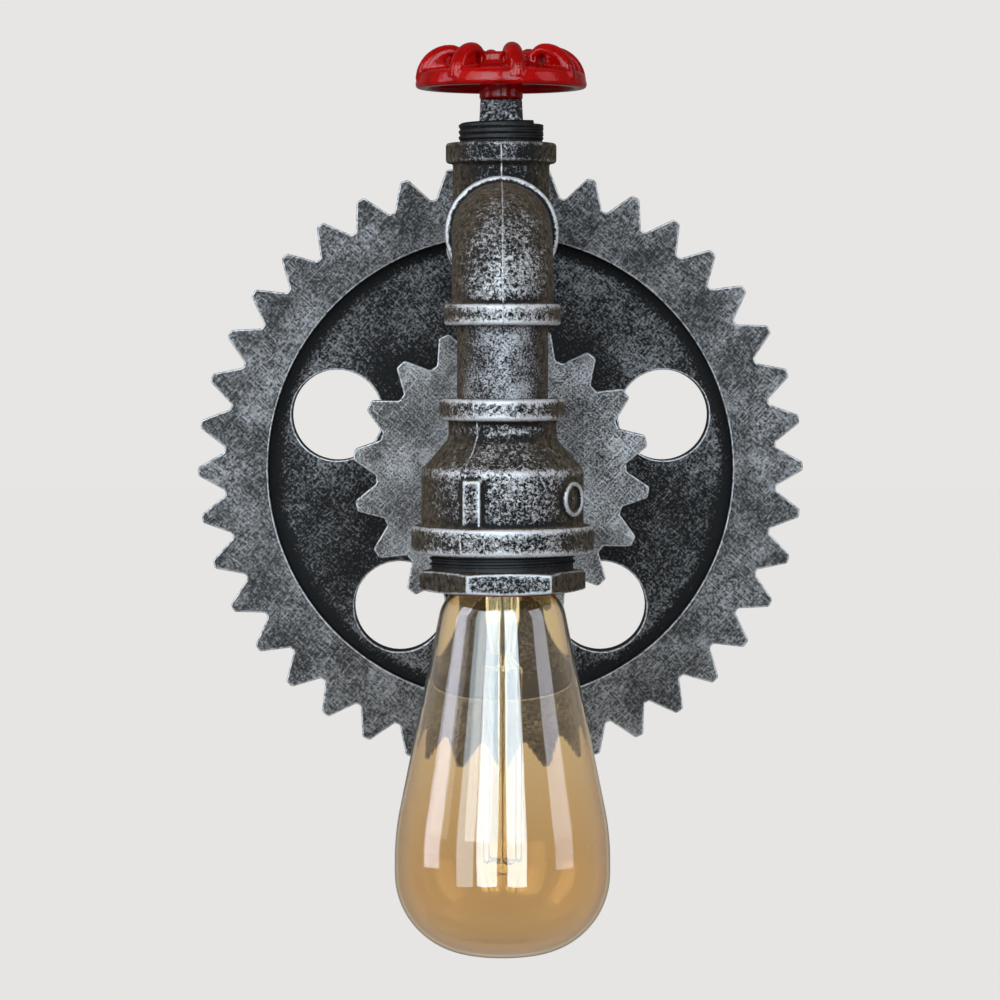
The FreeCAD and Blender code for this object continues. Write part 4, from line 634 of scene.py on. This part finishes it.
def ridge(name, axis, low, high, root, crest, pitch):
    """A black thread's ridge, wound upward round the upright axis at this Y, that runs out at both ends."""
    steps = 48
    run_out = 8
    foot = root - 0.2 * MM
    turns = (high - low) / pitch - 1
    work = bmesh.new()
    rows = []
    count = int(turns * steps)
    for k in range(count + 1):
        angle = 2 * math.pi * k / steps
        fade = min(1.0, k / run_out, (count - k) / run_out)
        height = low + pitch * (k / steps)
        top = root + (crest - root) * max(fade, 0.05)
        row = []
        for radius, lift in ((foot, 0.08), (top, 0.36), (top, 0.62), (foot, 0.92)):
            x, y = radius * math.cos(angle), axis + radius * math.sin(angle)
            row.append(work.verts.new((x, y, height + lift * pitch)))
        rows.append(row)
    for one, other in zip(rows, rows[1:]):
        for k in range(4):
            after = (k + 1) % 4
            work.faces.new([one[k], other[k], other[after], one[after]])
    work.faces.new(rows[0])
    work.faces.new(rows[-1][::-1])
    new_piece(name, finished_mesh(name, work), "light", ["thread_black"])


def bead(name, points, radius):
    """A thin raised line that wanders and swells a little: the seam that the mould's halves leave."""
    step, wander, wander_rate, swell_rate = 0.8 * MM, 0.35 * MM, 260, 900
    line = []
    for one, other in zip(points, points[1:]):
        steps = max(1, round((Vector(other) - Vector(one)).length / step))
        for k in range(steps):
            line.append(Vector(one).lerp(Vector(other), k / steps))
    line.append(Vector(points[-1]))
    curve = bpy.data.curves.new(name, "CURVE")
    curve.dimensions = "3D"
    curve.bevel_depth = radius
    curve.bevel_resolution = 2
    curve.use_fill_caps = True
    spline = curve.splines.new("POLY")
    spline.points.add(len(line) - 1)
    for spot, point in zip(spline.points, line):
        point.x += wander * noise.noise(point * wander_rate)
        spot.co = (*point, 1)
        spot.radius = 0.9 + 0.7 * noise.noise(point * swell_rate)
    temporary = bpy.data.objects.new(name, curve)
    bpy.context.scene.collection.objects.link(temporary)
    mesh = shown_mesh(temporary)
    bpy.data.objects.remove(temporary)
    mesh.shade_smooth()
    new_piece(name, mesh, "light", ["edge"])


def seam_line(axis, turn, outline):
    """Points down an upright fitting, so many degrees round from the front, by radius and height."""
    turn = math.radians(turn)
    return [(radius * math.sin(turn), axis - radius * math.cos(turn), height) for radius, height in outline]


def make_seams():
    """Seams down the tee's branch, over the elbow's bend and its foot, and down the reducer."""
    tee_outline = [(BAND_RADIUS, 0.0516), (BAND_RADIUS, 0.0464), (FITTING_RADIUS, 0.0456),
                   (FITTING_RADIUS, 0.0396)]
    elbow_foot = [(FITTING_RADIUS, 0.0028), (BAND_RADIUS, 0.0020), (BAND_RADIUS, -0.0038)]
    reducer_outline = [(0.0185, -0.0264), (0.0185, -0.0314), (0.0161, -0.0326), (0.0160, -0.0368),
                       (0.0170, -0.0390), (0.0196, -0.0420), (0.0226, -0.0453), (0.0239, -0.0480),
                       (0.0240, -0.0632), (0.0270, -0.0646), (0.0270, -0.0710)]
    bead("tee_seam", seam_line(TEE_AXIS, 0, tee_outline), 0.24 * MM)
    outer = ELBOW_BEND + FITTING_RADIUS
    centre_y = DROP_AXIS + ELBOW_BEND
    centre_z = PIPE_HEIGHT - ELBOW_BEND
    bend = []
    steps = 24
    for k in range(steps + 1):
        angle = math.radians(90 * k / steps)
        bend.append((0, centre_y - outer * math.sin(angle), centre_z + outer * math.cos(angle)))
    bead("elbow_seam", bend + seam_line(DROP_AXIS, 0, elbow_foot), 0.24 * MM)
    bead("reducer_seam", seam_line(DROP_AXIS, -27.5, reducer_outline), 0.26 * MM)


def make_threads():
    ridge("plug_thread", TEE_AXIS, low=0.0521, high=0.0592, root=0.01265, crest=0.01320, pitch=1.814 * MM)
    ridge("bushing_thread", DROP_AXIS, low=HEX_TOP, high=-0.0712, root=0.0207, crest=0.0216, pitch=1.7 * MM)


def paint_nodes():
    """Finish the solids that show as they are."""
    for material, nodes in NODE_MATERIALS.items():
        for node in nodes:
            mesh = NODES[node].data
            mesh.materials.clear()
            mesh.materials.append(MATERIALS[material])


# Room, lights and camera

def seen_rays(tree):
    """One for a ray that shows the surroundings to the camera, straight or through glass."""
    rays = tree.nodes.new("ShaderNodeLightPath")
    most = tree.nodes.new("ShaderNodeMath")
    most.operation = "MAXIMUM"
    tree.links.new(rays.outputs["Is Camera Ray"], most.inputs[0])
    tree.links.new(rays.outputs["Is Transmission Ray"], most.inputs[1])
    return most.outputs[0]


def pale_floor():
    """Pale floor that looks as light as the surroundings and still takes a shadow."""
    s = Shader("floor")
    s.drive("Base Color", s.blend(s.noise(0.4), (FLOOR_SHADE,) * 3, (FLOOR_SHADE - 0.01,) * 3))
    s.set(roughness=0.9)
    lit = (1 - FLOOR_GLOW) * FLOOR_SHADE * SURROUND
    glow = s.node("Emission", {"Color": (*PALE, 1), "Strength": FLOOR_TRIM * (1 - lit) / FLOOR_GLOW})
    share = s.math("MULTIPLY", seen_rays(s.tree), FLOOR_GLOW)
    mixed = s.node("MixShader", {0: share})
    s.link(s.surface.outputs[0], mixed.inputs[1])
    s.link(glow.outputs[0], mixed.inputs[2])
    s.link(mixed.outputs[0], s.tree.nodes["Material Output"].inputs["Surface"])
    return s.material


def make_room():
    mesh = bpy.data.meshes.new("floor")
    sides = ((-1, -1), (1, -1), (1, 1), (-1, 1))
    corners = [(x * FLOOR_REACH, y * FLOOR_REACH, FLOOR_HEIGHT) for x, y in sides]
    mesh.from_pydata(corners, [], [(0, 1, 2, 3)])
    mesh.materials.append(pale_floor())
    floor = bpy.data.objects.new("floor", mesh)
    bpy.context.scene.collection.objects.link(floor)


def make_world():
    """Soft pale surroundings: white where seen, straight or through glass, and dimmer as light."""
    world = bpy.data.worlds.new("studio")
    bpy.context.scene.world = world
    world.use_nodes = True
    tree = world.node_tree
    back = tree.nodes["Background"]
    back.inputs["Color"].default_value = (*PALE, 1)
    strength = tree.nodes.new("ShaderNodeMapRange")
    strength.inputs["To Min"].default_value = SURROUND
    strength.inputs["To Max"].default_value = 1.0
    tree.links.new(seen_rays(tree), strength.inputs["Value"])
    tree.links.new(strength.outputs["Result"], back.inputs["Strength"])


def softbox(name, azimuth, distance, width, height, lift, bright, colour=(1.0, 1.0, 1.0), mirrored=False):
    """A soft light that faces the object, so many degrees round it from straight ahead (negative is left).

    A mirrored one stands for a bright window that only shows in gloss and glass.
    """
    light = bpy.data.lights.new(name, "AREA")
    light.shape = "RECTANGLE"
    light.size = width
    light.size_y = height
    light.energy = bright * math.pi * width * height
    light.color = colour
    lamp = bpy.data.objects.new(name, light)
    bpy.context.scene.collection.objects.link(lamp)
    turn = math.radians(azimuth)
    middle = Vector((0, DROP_AXIS, -0.05))
    lamp.location = middle + Vector((distance * math.sin(turn), -distance * math.cos(turn), lift))
    lamp.rotation_mode = "QUATERNION"
    lamp.rotation_quaternion = (middle - lamp.location).to_track_quat("-Z", "Y")
    lamp.visible_diffuse = not mirrored


def make_lights():
    """Soft light from both sides of the camera, and the windows that show in the glass."""
    daylight = (0.72, 0.89, 1.0)
    lilac = (0.80, 0.82, 1.0)
    softbox("key_left", -28, 1.9, 1.10, 1.6, 0.85, 2.7)
    softbox("key_right", 14, 1.9, 0.67, 1.6, 0.85, 2.4)
    softbox("window_left", -17, 1.8, 0.76, 1.85, 0.43, 8.8, daylight, mirrored=True)
    softbox("window_right", 15, 1.8, 0.72, 1.85, 0.43, 8.4, daylight, mirrored=True)
    softbox("veil_left", -41, 1.8, 0.66, 1.85, 0.43, 3.6, daylight, mirrored=True)
    softbox("pane_left", -82, 1.5, 0.62, 1.5, 0.40, 4.6, lilac, mirrored=True)
    softbox("pane_right", 69, 1.5, 0.66, 1.5, 0.40, 2.6, lilac, mirrored=True)
    softbox("fill_left", -75, 1.6, 0.8, 1.2, 0.60, 0.9)
    softbox("fill_right", 70, 1.6, 0.8, 1.2, 0.60, 0.6)


def make_camera():
    data = bpy.data.cameras.new("camera")
    data.lens = 134.0
    data.sensor_width = 36.0
    data.clip_start = 0.05
    data.clip_end = 60.0
    camera = bpy.data.objects.new("camera", data)
    bpy.context.scene.collection.objects.link(camera)
    camera.location = (-0.008, -1.229, -0.006)
    camera.rotation_euler = (math.radians(90 - 2.6), 0, math.radians(-0.378))
    bpy.context.scene.camera = camera


paint_nodes()
dress_large_gear()
dress_small_gear()
dress_fittings()
dress_handwheel()
make_bulb()
make_stem()
make_threads()
make_seams()
make_room()
make_world()
make_lights()
make_camera()
bpy.context.scene.view_settings.view_transform = "Standard"
